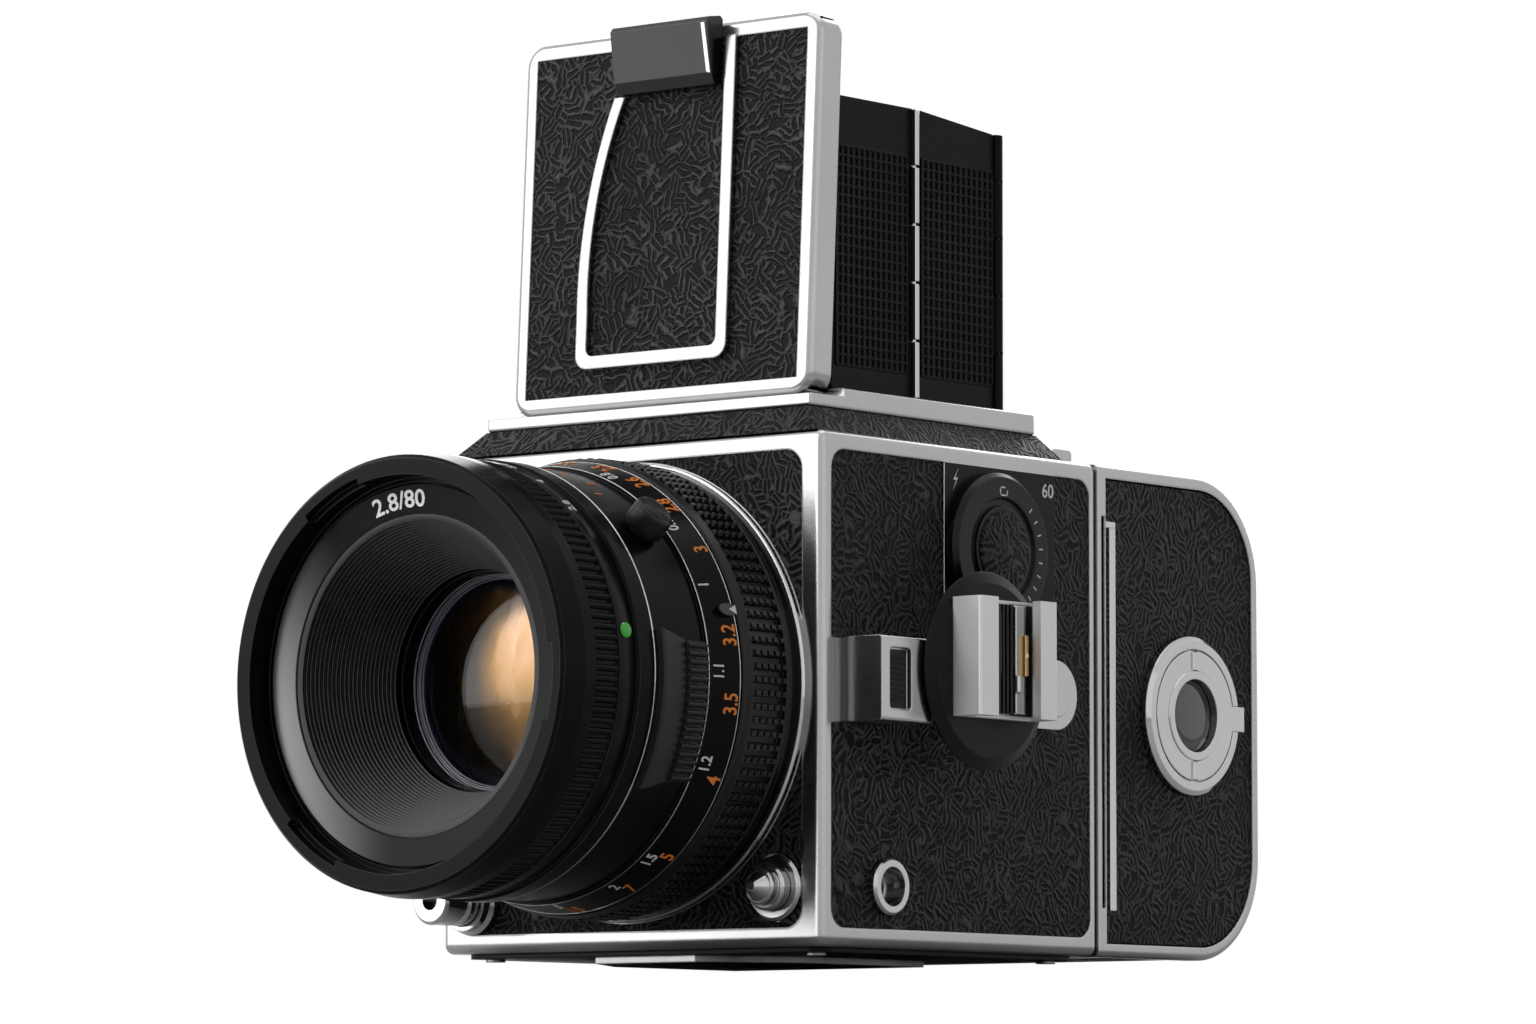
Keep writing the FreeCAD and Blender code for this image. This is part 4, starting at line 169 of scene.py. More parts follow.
class Graph:
    """Build the node tree of one material or of the world."""

    def __init__(self, tree: bpy.types.NodeTree) -> None:
        """Start from an empty tree."""
        self.tree = tree
        tree.nodes.clear()

    def node(
        self,
        kind: str,
        settings: dict[str, object] | None = None,
        inputs: dict[int | str, object] | None = None,
        output: int | str = 0,
    ) -> Wire:
        """Add any node.

        Args:
            kind: The node's type.
            settings: Its settings, set first; stops holds a ramp's places and colours.
            inputs: Values or wires of its inputs.
            output: The output that is given back.

        Returns:
            One of the node's outputs.
        """
        made = self.tree.nodes.new(kind)
        for key, value in (settings or {}).items():
            if key == "stops":
                ramp = made.color_ramp.elements
                while len(ramp) < len(value):
                    ramp.new(0.5)
                for stop, (place, colour) in zip(ramp, value):
                    stop.position = place
                    stop.color = (*colour, 1.0)
            else:
                setattr(made, key, value)
        for key, value in (inputs or {}).items():
            if isinstance(value, Wire):
                self.tree.links.new(value.socket, made.inputs[key])
            else:
                made.inputs[key].default_value = value
        return Wire(self, made.outputs[output])

    def vectors(self, operation: str, *terms: "Wire | Point", output: int | str = 0) -> Wire:
        """Add one Vector Math node."""
        return self.node("ShaderNodeVectorMath", {"operation": operation}, dict(enumerate(terms)), output)

    def place(self) -> Wire:
        """Give the place in the frame, which an object carries with it when it moves."""
        return self.node("ShaderNodeTexCoord", output="Object")

    def axes(self, vector: Wire) -> tuple[Wire, Wire, Wire]:
        """Split a vector into its three numbers."""
        first = self.node("ShaderNodeSeparateXYZ", None, {0: vector})
        return first, first.other(1), first.other(2)

    def noise(self, vector: Wire, scale: float, detail: float = 2.0, output: int | str = 0) -> Wire:
        """Add a noise texture."""
        return self.node(
            "ShaderNodeTexNoise", None, {"Vector": vector, "Scale": scale, "Detail": detail}, output
        )

    def mix(self, share: "Wire | float", low: "Wire | Colour", high: "Wire | Colour") -> Wire:
        """Mix two colours.

        Args:
            share: How much of the second colour there is.
            low: The first colour.
            high: The second colour.

        Returns:
            The mixed colour.
        """
        ends = [value if isinstance(value, Wire) else (*value, 1.0) for value in (low, high)]
        return self.node("ShaderNodeMix", {"data_type": "RGBA"}, {0: share, 6: ends[0], 7: ends[1]}, 2)

    def blend(self, share: Wire, first: Wire, second: Wire) -> Wire:
        """Mix two shaders by a share of the second."""
        return self.node("ShaderNodeMixShader", None, {0: share, 1: first, 2: second})

    def edge(self, radius: float) -> tuple[Wire, Wire]:
        """Soften the edges and find them.

        Args:
            radius: The radius of the softened edge in millimetres.

        Returns:
            The softened normal, and a mask that is 1 along the edges.
        """
        soft = self.node("ShaderNodeBevel", {"samples": 4}, {"Radius": radius * MM})
        true = self.node("ShaderNodeNewGeometry", output="Normal")
        straight = self.vectors("DOT_PRODUCT", soft, true, output=1)
        return soft, ((EDGE_COSINE - straight) * EDGE_GAIN).kept()

    def bump(self, height: Wire, depth: float, normal: Wire | None = None, strength: float = 1.0) -> Wire:
        """Add a bump.

        Args:
            height: The height, from 0 to 1.
            depth: The depth in millimetres that 1 stands for.
            normal: The normal below it.
            strength: How strongly it shows.

        Returns:
            The bumped normal.
        """
        inputs = {"Height": height, "Distance": depth * MM, "Strength": strength}
        if normal is not None:
            inputs["Normal"] = normal
        return self.node("ShaderNodeBump", None, inputs)

    def surface(self, **inputs: object) -> Wire:
        """Add the Principled shader, whose inputs are named with underscores."""
        named = {key.replace("_", " "): value for key, value in inputs.items()}
        for key in ("Base Color", "Emission Color", "Specular Tint"):
            if key in named and not isinstance(named[key], Wire):
                named[key] = (*named[key], 1.0)
        return self.node("ShaderNodeBsdfPrincipled", None, named)

    def close(self, shader: Wire, kind: str = "ShaderNodeOutputMaterial") -> None:
        """Add the output node and link the shader to it."""
        made = self.tree.nodes.new(kind)
        self.tree.links.new(shader.socket, made.inputs["Surface"])


# Finishes

class Slot(Enum):
    """Name the record's material slots."""

    CHROME_TRIM = "chrome_trim"
    BRIGHT_CHROME = "bright_chrome"
    LEATHER = "black_leather"
    ENAMEL = "black_enamel"
    ANODISED = "black_anodised"
    PLASTIC = "black_plastic"
    RUBBER = "grip_rubber"
    CASTING = "cast_alloy"
    MATTE = "matte_black_alloy"
    GLASS = "optical_glass"
    SCREEN = "screen_glass"
    MIRROR = "mirror_silver"
    STEEL = "steel"
    BRASS = "brass_contact"
    GREY = "grey_anodised"


KEPT: dict[str, bpy.types.Material] = {}


@dataclass(frozen=True)
class Finish:
    """Describe a finish; the same finish makes its material once."""

    name: str
    slot: Slot

    def material(self) -> bpy.types.Material:
        """Give the finish's material."""
        if self.name not in KEPT:
            made = bpy.data.materials.new(self.name)
            made.use_nodes = True
            graph = Graph(made.node_tree)
            graph.close(self.shade(graph, graph.place()))
            KEPT[self.name] = made
        return KEPT[self.name]

    def shade(self, graph: Graph, place: Wire) -> Wire:
        """Build the finish's nodes.

        Args:
            graph: The material's node tree.
            place: The place in the frame.

        Returns:
            The shader.
        """
        raise NotImplementedError


@dataclass(frozen=True)
class Metal(Finish):
    """Chromed, brushed or bare metal with smudges, brushing and edges painted paler: partly metal brightened
    by use, partly a painted highlight.
    """

    tint: Colour = (0.44, 0.44, 0.44)
    roughness: float = 0.17
    smudge: float = 0.10
    smudge_scale: float = 55.0
    brushing: Point = (900.0, 900.0, 900.0)
    relief: float = 0.006
    rounding: float = 0.3
    metallic: float = 1.0

    def shade(self, graph: Graph, place: Wire) -> Wire:
        """Build the metal."""
        normal, edges = graph.edge(self.rounding)
        clouds = graph.noise(place, self.smudge_scale, 4.0)
        brushed = graph.noise(graph.vectors("MULTIPLY", place, self.brushing), 1.0, 3.0)
        dull = tuple(0.80 * value for value in self.tint)
        bright = tuple(min(1.0, 1.12 * value) for value in self.tint)
        tone = graph.mix((clouds * 0.7 + brushed * 0.3).kept(), dull, self.tint)
        # Painted highlight: the edges are painted paler, partly also for metal brightened by use.
        return graph.surface(
            Base_Color=graph.mix(edges * 0.7, tone, bright),
            Metallic=self.metallic,
            Roughness=(self.roughness + (clouds - 0.5) * self.smudge + (brushed - 0.5) * 0.05).kept(),
            Normal=graph.bump(brushed, self.relief, normal),
        )


@dataclass(frozen=True)
class Coat(Finish):
    """Paint, anodising, plastic or rubber: a dark skin with a fine grain and edges painted paler, partly
    from use, partly as a painted highlight.
    """

    colour: Colour = (0.006, 0.006, 0.006)
    roughness: float = 0.35
    gloss: float = 0.2
    patch_scale: float = 70.0
    grain: float = 1500.0
    relief: float = 0.01
    rounding: float = 0.3
    wear_and_edge_highlight: float = 0.25

    def shade(self, graph: Graph, place: Wire) -> Wire:
        """Build the coat."""
        normal, edges = graph.edge(self.rounding)
        clouds = graph.noise(place, self.patch_scale, 4.0)
        grains = graph.noise(place, self.grain, 2.0)
        pale = tuple(value * 1.5 + 0.002 for value in self.colour)
        worn_and_highlit_edge = tuple(min(1.0, value * 1.3 + 0.10) for value in self.colour)
        tone = graph.mix((clouds * 0.8 + grains * 0.2).kept(), self.colour, pale)
        # Edges painted paler: partly from use, partly a painted highlight along the rounded edges.
        rubbed_and_highlit_edges = (edges * (clouds * 1.6 - 0.35)).kept() * self.wear_and_edge_highlight
        return graph.surface(
            Specular_IOR_Level=self.gloss,
            Base_Color=graph.mix(rubbed_and_highlit_edges, tone, worn_and_highlit_edge),
            Roughness=(self.roughness + (clouds - 0.5) * 0.12 + (grains - 0.5) * 0.1).kept(),
            Normal=graph.bump(grains, self.relief, normal),
        )


@dataclass(frozen=True)
class Plate(Finish):
    """The black name plate, with a painted sheen that grows towards its lower left, where it stands in for
    the lamp's reflection.
    """

    colour: Colour = (0.002, 0.002, 0.002)
    # The painted sheen's colour, the way to its brightest side and its reach.
    painted_sheen_colour: Colour = (0.11, 0.105, 0.11)
    bright: Pair = (-0.95, -0.25)
    reach: float = 29.0
    patches: Point = (60.0, 60.0, 60.0)
    gloss: float = 0.08

    def shade(self, graph: Graph, place: Wire) -> Wire:
        """Build the plate, whose painted sheen turns it from black paint to pale metal round the ring,
        towards the lower left.
        """
        x, _, z = graph.axes(place)
        z = z - LENS_HEIGHT * MM
        patches = graph.noise(graph.vectors("MULTIPLY", place, self.patches), 1.0, 2.0)
        # Painted sheen: a mask that grows towards the lower left, where the lamp's reflection falls.
        share = (x * self.bright[0] + z * self.bright[1]) * (1.0 / (self.reach * MM))
        painted_sheen = (share * 1.5 - 0.55 + (patches - 0.5) * 0.1).kept()
        return graph.surface(
            Base_Color=graph.mix(painted_sheen, self.colour, self.painted_sheen_colour),
            Metallic=painted_sheen,
            Roughness=(0.30 - painted_sheen * 0.08).kept(),
            Specular_IOR_Level=self.gloss,
            Normal=graph.bump(patches, 0.004),
        )


@dataclass(frozen=True)
class Leather(Finish):
    """Black grained leather cloth: short wavy ridges that lie in all directions, with painted highlights on
    the ridges and painted shade between them.
    """

    low: Colour = (0.0010, 0.0010, 0.0010)
    high: Colour = (0.0800, 0.0800, 0.0800)
    ridge: float = 1.0
    patch: float = 400.0
    border_gain: float = 11.0
    depth: float = 0.42
    bend: Point = (0.0021, 0.0021, 0.0021)
    bend_scale: float = 260.0
    grain_scale: float = 3200.0
    cloud_scale: float = 60.0
    gloss: float = 0.085

    def shade(self, graph: Graph, place: Wire) -> Wire:
        """Build the leather: each patch between two borders has ridges of its own direction."""
        middle = (0.5, 0.5, 0.5)
        warp = graph.vectors("SUBTRACT", graph.noise(place, self.bend_scale, 3.0, "Color"), middle)
        bent = graph.vectors("ADD", place, graph.vectors("MULTIPLY", warp, self.bend))
        patches = {"Vector": bent, "Scale": self.patch}
        cells = graph.node("ShaderNodeTexVoronoi", None, patches, "Color")
        way = graph.vectors("NORMALIZE", graph.vectors("SUBTRACT", cells, middle))
        phase = graph.vectors("DOT_PRODUCT", bent, way, output=1) * (FULL_TURN / (self.ridge * MM))
        borders = graph.node("ShaderNodeTexVoronoi", {"feature": "DISTANCE_TO_EDGE"}, patches)
        inside = (borders * self.border_gain).kept()
        wave = (phase.sine() * 0.62 + 0.30).kept() * inside
        height = (wave + (1.0 - inside) * 0.75).kept()
        grains = graph.noise(place, self.grain_scale, 2.0)
        clouds = graph.noise(place, self.cloud_scale, 3.0)
        # Painted highlight and shade: the ridge tops are painted paler and the grooves darker, patchy with
        # the clouds.
        return graph.surface(
            Base_Color=graph.mix((height * height * (clouds * 1.5)).kept(), self.low, self.high),
            Roughness=(0.52 - height * 0.20 + (clouds - 0.5) * 0.1).kept(),
            Specular_IOR_Level=self.gloss,
            Normal=graph.bump(height + grains * 0.12, self.depth, None, 0.9),
        )


@dataclass(frozen=True)
class Mark(Finish):
    """Paint in an engraved mark, slightly uneven."""

    colour: Colour = (0.85, 0.85, 0.84)
    shine: float = 0.5

    def shade(self, graph: Graph, place: Wire) -> Wire:
        """Build the paint."""
        patches = graph.noise(place, 900.0, 3.0)
        dull = tuple(0.72 * value for value in self.colour)
        return graph.surface(
            Base_Color=graph.mix((patches * 1.6 - 0.3).kept(), dull, self.colour),
            Roughness=(self.shine + (patches - 0.5) * 0.2).kept(),
            Normal=graph.bump(patches, 0.01),
        )


@dataclass(frozen=True)
class Glass(Finish):
    """Clear coated glass with faint dust."""

    tint: Colour = (1.0, 1.0, 1.0)
    index: float = 1.22
    haze: float = 0.0

    def shade(self, graph: Graph, place: Wire) -> Wire:
        """Build the glass."""
        dust = graph.noise(place, 700.0, 4.0)
        return graph.surface(
            Base_Color=self.tint,
            Transmission_Weight=1.0,
            IOR=self.index,
            Roughness=((dust - 0.62) * 0.2 + self.haze).kept(),
        )


@dataclass(frozen=True)
class PaintedReflectionCoating(Finish):
    """The coated rear element with a painted reflection: dark on the left, amber to rose on the right, blue
    violet at the rim.
    """

    reach: float = 16.9
    streaks: Point = (160.0, 40.0, 60.0)
    rim: Colour = (0.012, 0.014, 0.035)
    # The painted reflection's colours, from its dark left to its bright right.
    stops: tuple[tuple[float, Colour], ...] = (
        (0.0, (0.006, 0.004, 0.006)), (0.30, (0.03, 0.018, 0.008)), (0.45, (0.10, 0.05, 0.012)),
        (0.58, (0.22, 0.12, 0.04)), (0.75, (0.36, 0.23, 0.15)), (1.0, (0.24, 0.10, 0.03)),
    )

    def shade(self, graph: Graph, place: Wire) -> Wire:
        """Build the coating and its painted reflection, which change across the glass and towards its rim.
        """
        x, _, z = graph.axes(place)
        height = z - LENS_HEIGHT * MM
        reach = self.reach * MM
        radius = (x * x + height * height).root() / reach
        streaks = graph.noise(graph.vectors("MULTIPLY", place, self.streaks), 1.0, 3.0)
        # Painted reflection: a streaked ramp from dark on the left to bright amber on the right, standing in
        # for the reflections seen in the glass.
        across = x / reach * 0.44 + height / reach * 0.16 + 0.46
        ramp = (across + (streaks - 0.5) * 0.6).kept()
        shade = graph.node("ShaderNodeValToRGB", {"stops": self.stops}, {0: ramp})
        return graph.surface(
            Base_Color=graph.mix(((radius - 0.86) * 9.0).kept(), shade, self.rim),
            Metallic=0.95,
            Roughness=(0.26 + (streaks - 0.5) * 0.2).kept(),
            Normal=graph.bump(streaks, 0.25),
        )


@dataclass(frozen=True)
class BodyShell(Finish):
    """The body casting: chromed all over, but for the black plate under the film speed dial."""

    chrome: Metal = field(default_factory=lambda: CHROME)
    black: Coat = field(default_factory=lambda: ENAMEL)
    face: float = 41.5
    front: float = -5.5
    rear: float = 26.2
    low: float = 55.5
    high: float = 84.9

    def shade(self, graph: Graph, place: Wire) -> Wire:
        """Build the two finishes and mix them over the plate."""
        x, y, z = graph.axes(place)
        along = (y > self.front * MM) * (y < self.rear * MM)
        plate = (x > self.face * MM) * along * (z > self.low * MM) * (z < self.high * MM)
        return graph.blend(plate, self.chrome.shade(graph, place), self.black.shade(graph, place))


@dataclass(frozen=True)
class HoodSheet(Finish):
    """A hood leaf: black enamel with bare bright knuckles on the middle hinge."""

    chrome: Metal = field(default_factory=lambda: BRIGHT)
    black: Coat = field(default_factory=lambda: SATIN)
    hinge: float = 1.2
    reach: float = 0.6
    face: float = 30.3

    def shade(self, graph: Graph, place: Wire) -> Wire:
        """Build the two finishes and mix them round the hinge line."""
        x, y, _ = graph.axes(place)
        near = (y - self.hinge * MM).size() < self.reach * MM
        bare = near * (x.size() > self.face * MM)
        return graph.blend(bare, self.black.shade(graph, place), self.chrome.shade(graph, place))


CHROME = Metal("satin_chrome", Slot.CASTING, tint=(0.42, 0.415, 0.415), roughness=0.20, rounding=0.6)
BRIGHT = Metal("bright_chrome", Slot.BRIGHT_CHROME, tint=(0.50, 0.495, 0.495), roughness=0.10, smudge=0.06)
BRUSHED = Metal(
    "brushed_chrome", Slot.CHROME_TRIM, tint=(0.45, 0.445, 0.44), roughness=0.2,
    brushing=(3000.0, 3000.0, 120.0), relief=0.012,
)
TURNED = Metal(
    "turned_chrome", Slot.BRIGHT_CHROME, tint=(0.47, 0.465, 0.46), roughness=0.14,
    brushing=(250.0, 3500.0, 250.0), relief=0.01,
)
# The shoe's chrome, painted paler and half diffuse: a painted reflection, brighter than the other chrome.
SHOE_CHROME_PAINTED_BRIGHT = Metal("shoe_chrome_painted_bright", Slot.BRIGHT_CHROME, tint=(0.76, 0.75, 0.76), roughness=0.36, metallic=0.45)
STEEL = Metal("bare_steel", Slot.STEEL, tint=(0.30, 0.30, 0.30), roughness=0.25, smudge=0.15)
BRASS = Metal("contact_brass", Slot.BRASS, tint=(0.62, 0.42, 0.20), roughness=0.22)
SILVER = Metal(
    "silvered_mirror", Slot.MIRROR, tint=(0.85, 0.85, 0.86), roughness=0.02, smudge=0.02, relief=0.0005,
)
ENAMEL = Coat("black_enamel", Slot.ENAMEL, colour=(0.004, 0.004, 0.004), gloss=0.10, grain=1200.0)
GLOSS = Coat("gloss_enamel", Slot.ENAMEL, colour=(0.005, 0.005, 0.005), roughness=0.22, gloss=0.32, wear_and_edge_highlight=0.6)
SATIN = Coat(
    "satin_enamel", Slot.ENAMEL, colour=(0.002, 0.002, 0.002), roughness=0.36, gloss=0.07, relief=0.004,
)
ANODISED = Coat(
    "black_anodised", Slot.ANODISED, colour=(0.0018, 0.0018, 0.002), roughness=0.24, gloss=0.055,
    grain=2200.0, relief=0.004, wear_and_edge_highlight=1.0,
)
MATTE = Coat(
    "matte_alloy", Slot.MATTE, colour=(0.002, 0.002, 0.002), roughness=0.55, gloss=0.06, grain=900.0,
)
RIDGED = Coat(
    "ridged_baffle", Slot.MATTE, colour=(0.0015, 0.0015, 0.0015), roughness=0.30, gloss=0.25,
    relief=0.004, rounding=0.14, wear_and_edge_highlight=1.6,
)
PLASTIC = Coat(
    "black_plastic", Slot.PLASTIC, colour=(0.003, 0.003, 0.003), roughness=0.28, gloss=0.16, wear_and_edge_highlight=0.6,
)
RUBBER = Coat(
    "tread_rubber", Slot.RUBBER, colour=(0.0020, 0.0020, 0.0020), roughness=0.30, gloss=0.22,
    rounding=0.2, wear_and_edge_highlight=1.4,
)
GREY = Coat("grey_anodised", Slot.GREY, colour=(0.014, 0.014, 0.015), roughness=0.40, relief=0.006)
NAME_PLATE = Plate("name_plate", Slot.ANODISED)
LEATHER = Leather("grained_leather", Slot.LEATHER)
WHITE = Mark("white_mark", Slot.ENAMEL)
ORANGE = Mark("orange_mark", Slot.ENAMEL, colour=(0.90, 0.25, 0.02))
GREEN = Mark("green_mark", Slot.ENAMEL, colour=(0.05, 0.55, 0.03), shine=0.2)
LENS_GLASS = Glass("lens_glass", Slot.GLASS)
EYE_GLASS = Glass("magnifier_glass", Slot.GLASS, index=1.5)
GROUND_GLASS = Glass("ground_glass", Slot.SCREEN, tint=(0.85, 0.86, 0.82), haze=0.45)
DARK_GLASS = Coat(
    "dark_window", Slot.GLASS, colour=(0.012, 0.006, 0.005), roughness=0.08, gloss=0.8, relief=0.001,
    wear_and_edge_highlight=0.0,
)
PAINTED_REFLECTION_COATING = PaintedReflectionCoating("element_coating_and_painted_reflection", Slot.GLASS)
CELL = Coat("cell_ring", Slot.ANODISED, colour=(0.020, 0.022, 0.045), roughness=0.14, gloss=0.9, wear_and_edge_highlight=0.8)
BODY_SHELL = BodyShell("chromed_body", Slot.CASTING)
HOOD_SHEET = HoodSheet("hood_sheet", Slot.ENAMEL)
FINISHES: tuple[tuple[Finish, str], ...] = (
    (BODY_SHELL, "body_casting"),
    (LEATHER, "body_coverings finder_coverings magazine_coverings insert_covering"),
    (ENAMEL, "base_plate shoe_disc"),
    (STEEL, "tripod_foot base_screws drive_shaft"),
    (BRIGHT, "lens_mount_ring crank_handle insert_key key_bail"),
    (MATTE, "mirror_chamber mirror_carrier upper_flap lower_flap finder_band lid_plate"),
    (MATTE, "iris_blades film_insert"),
    (GROUND_GLASS, "focusing_screen"),
    (TURNED, "body_fittings release_button lens_release_button crank_knob"),
    (BRUSHED, "accessory_rail crank_arm mirror_lever magazine_crank magazine_catch"),
    (CHROME, "finder_plate lid_frame magazine_shell"),
    (SILVER, "mirror_glass"),
    (PLASTIC, "film_speed_dial shoe_spring sync_cap supply_spool takeup_spool"),
    (SHOE_CHROME_PAINTED_BRIGHT, "shoe_channel"),
    (GLOSS, "lid_latch"),
    (HOOD_SHEET, "left_front_leaf left_rear_leaf right_front_leaf right_rear_leaf"),
    (SATIN, "rear_leaf magnifier_frame"),
    (EYE_GLASS, "magnifier_glass"),
    (ANODISED, "lens_barrel lens_head head_sleeve front_bezel shutter_ring aperture_ring"),
    (RUBBER, "focus_ring"),
    (RIDGED, "baffle_cone"),
    (LENS_GLASS, "lens_elements"),
    (GREY, "preview_tab"),
)


# Grounds: where a detail lies

class Ground:
    """Say where a point of a flat drawing lies on the object."""

    def at(self, u: float, v: float, w: float) -> Point:
        """Give the place of a drawing's point.

        Args:
            u: How far along the line of writing, in millimetres.
            v: How far up the letters.
            w: How far out of the surface.

        Returns:
            The place in the frame, in millimetres.
        """
        raise NotImplementedError


@dataclass(frozen=True)
class Flat(Ground):
    """A flat face with a middle, a direction of writing and one up the letters."""

    middle: Point
    along: Point
    up: Point

    def at(self, u: float, v: float, w: float) -> Point:
        """Give the place of a drawing's point."""
        along, up = Vector(self.along), Vector(self.up)
        return tuple(Vector(self.middle) + along * u + up * v + along.cross(up) * w)


@dataclass(frozen=True)
class Band(Ground):
    """The outside of a ring on the lens, written along its circumference."""

    radius: float
    station: float
    angle: float
    slope: float = 0.0

    def at(self, u: float, v: float, w: float) -> Point:
        """Give the place of a drawing's point."""
        turn = math.radians(self.angle) + u / self.radius
        out = self.radius + w - self.slope * v
        return out * math.cos(turn), BODY_FRONT - self.station - v, LENS_HEIGHT + out * math.sin(turn)


@dataclass(frozen=True)
class RingFace(Ground):
    """The front face of a ring on the lens, written round it."""

    radius: float
    station: float
    angle: float
    slope: float

    def at(self, u: float, v: float, w: float) -> Point:
        """Give the place of a drawing's point."""
        turn = math.radians(self.angle) - u / self.radius
        out = self.radius + v
        station = self.station + w + self.slope * v
        return out * math.cos(turn), BODY_FRONT - station, LENS_HEIGHT + out * math.sin(turn)


# Pieces

class Piece:
    """Gather points and faces in millimetres and make one object from them."""

    def __init__(self, name: str, body: str, finish: Finish) -> None:
        """Start an empty piece that rides on a body."""
        self.name = name
        self.body = body
        self.finish = finish
        self.points: list[Point] = []
        self.faces: list[tuple[int, ...]] = []

    def add(self, points: Iterable[Point], faces: Iterable[Sequence[int]]) -> None:
        """Add points and the faces between them."""
        start = len(self.points)
        self.points.extend(tuple(point) for point in points)
        self.faces.extend(tuple(start + index for index in face) for face in faces)

    def pad(self, ground: Ground, box: Box, height: float, slope: float = 0.0) -> None:
        """Add a small block with sloped sides.

        Args:
            ground: What the block lies on.
            box: Its lowest u and v and its highest u and v.
            height: How far it stands out.
            slope: How much smaller its top is on each side.
        """
        low_u, low_v, high_u, high_v = box
        foot = ((low_u, low_v), (high_u, low_v), (high_u, high_v), (low_u, high_v))
        top = (
            (low_u + slope, low_v + slope), (high_u - slope, low_v + slope),
            (high_u - slope, high_v - slope), (low_u + slope, high_v - slope),
        )
        points = [ground.at(u, v, -SINK) for u, v in foot] + [ground.at(u, v, height) for u, v in top]
        self.add(points, (
            (3, 2, 1, 0), (4, 5, 6, 7), (0, 1, 5, 4), (1, 2, 6, 5), (2, 3, 7, 6), (3, 0, 4, 7),
        ))

    def blocks(self, blocks: Iterable[Block]) -> "Piece":
        """Add blocks on faces that look to the shoe's side.

        Args:
            blocks: Each one's middle, box, height and slope.

        Returns:
            The piece itself.
        """
        for middle, box, height, slope in blocks:
            self.pad(Flat(middle, BACK, UP), box, height, slope)
        return self

    def outline(
        self, ground: Ground, drawing: Sequence[Pair], height: float, sink: float = SINK,
    ) -> "Piece":
        """Add a flat shape with an outline.

        Args:
            ground: What the shape lies on.
            drawing: The outline's points, counter-clockwise.
            height: How far it stands out.
            sink: How far its foot is sunk.

        Returns:
            The piece itself.
        """
        count = len(drawing)
        points = [ground.at(u, v, w) for w in (-sink, height) for u, v in drawing]
        sides = []
        for index in range(count):
            after = (index + 1) % count
            sides.append((index, after, after + count, index + count))
        self.add(points, [tuple(reversed(range(count))), tuple(range(count, 2 * count)), *sides])
        return self

    def bar(self, ground: Ground, section: Sequence[Pair], low: float, high: float) -> None:
        """Add a straight bar that lies up the letters.

        Args:
            ground: What the bar lies on.
            section: Its section's points, as pairs of u and w.
            low: The v where it starts.
            high: The v where it ends.
        """
        count = len(section)
        points = [ground.at(u, v, w) for v in (low, high) for u, w in section]
        sides = [(index, index + 1, index + 1 + count, index + count) for index in range(count - 1)]
        ends = [tuple(range(count)), tuple(reversed(range(count, 2 * count)))]
        self.add(points, [*ends, *sides, (count - 1, 0, count, 2 * count - 1)])

    def turned(self, profile: Sequence[Pair], steps: int = 160) -> "Piece":
        """Turn a closed profile round the lens axis.

        Args:
            profile: Pairs of station and radius, in order round the section.
            steps: How many steps the turn has.

        Returns:
            The piece itself.
        """
        return self.around((0.0, BODY_FRONT, LENS_HEIGHT), (0.0, -1.0, 0.0), RIGHT, profile, steps)

    def around(
        self, start: Point, axis: Point, side: Point, profile: Sequence[Pair], steps: int = 96,
    ) -> "Piece":
        """Turn a closed profile round any axis.

        Args:
            start: Where the axis starts.
            axis: Its direction.
            side: A direction square to it.
            profile: Pairs of length along the axis and radius.
            steps: How many steps the turn has.

        Returns:
            The piece itself.
        """
        centre, way, first = Vector(start), Vector(axis), Vector(side)
        second = way.cross(first)
        points, faces, count = [], [], len(profile)
        for step, turn in enumerate(turns(steps)):
            out = first * math.cos(turn) + second * math.sin(turn)
            points.extend(tuple(centre + way * along + out * radius) for along, radius in profile)
            here, there = step * count, (step + 1) % steps * count
            for index in range(count):
                after = (index + 1) % count
                if profile[index][1] or profile[after][1]:
                    faces.append((here + index, here + after, there + after, there + index))
        self.add(points, faces)
        return self

    def letters(
        self, text: str, size: float, ground: Ground, height: float = 0.06, bold: float = 0.0,
        narrow: float = 1.0,
    ) -> None:
        """Write generic figures.

        Args:
            text: The figures.
            size: Their size in millimetres.
            ground: What they are written on.
            height: How far they stand out.
            bold: How much their strokes are widened.
            narrow: Their width as a share of the usual width.
        """
        curve = bpy.data.curves.new("figures", "FONT")
        curve.body, curve.size = text, size
        curve.align_x, curve.align_y = "CENTER", "CENTER"
        curve.extrude, curve.offset, curve.resolution_u = height, bold, FIGURE_STEPS
        holder = bpy.data.objects.new("figures", curve)
        bpy.context.scene.collection.objects.link(holder)
        bpy.context.view_layer.update()
        mesh = bpy.data.meshes.new_from_object(holder)
        self.add(
            [ground.at(point.co.x * narrow, point.co.y, point.co.z) for point in mesh.vertices],
            [tuple(face.vertices) for face in mesh.polygons],
        )
        bpy.data.objects.remove(holder)
        bpy.data.curves.remove(curve)
        bpy.data.meshes.remove(mesh)

    def make(self, smooth: float = 35.0) -> bpy.types.Object:
        """Make the object, give it its finish and let it ride on its body.

        Args:
            smooth: The largest angle in degrees that is shaded smooth.

        Returns:
            The object.
        """
        mesh = bpy.data.meshes.new(self.name)
        mesh.from_pydata([Vector(point) * MM for point in self.points], [], self.faces)
        made = bpy.data.objects.new(self.name, mesh)
        bpy.context.scene.collection.objects.link(made)
        weld(mesh)
        mesh.materials.append(self.finish.material())
        mesh.shade_smooth()
        mesh.set_sharp_from_angle(angle=math.radians(smooth))
        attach(made, self.body)
        LOG.info("made %s with %d faces", self.name, len(mesh.polygons))
        return made


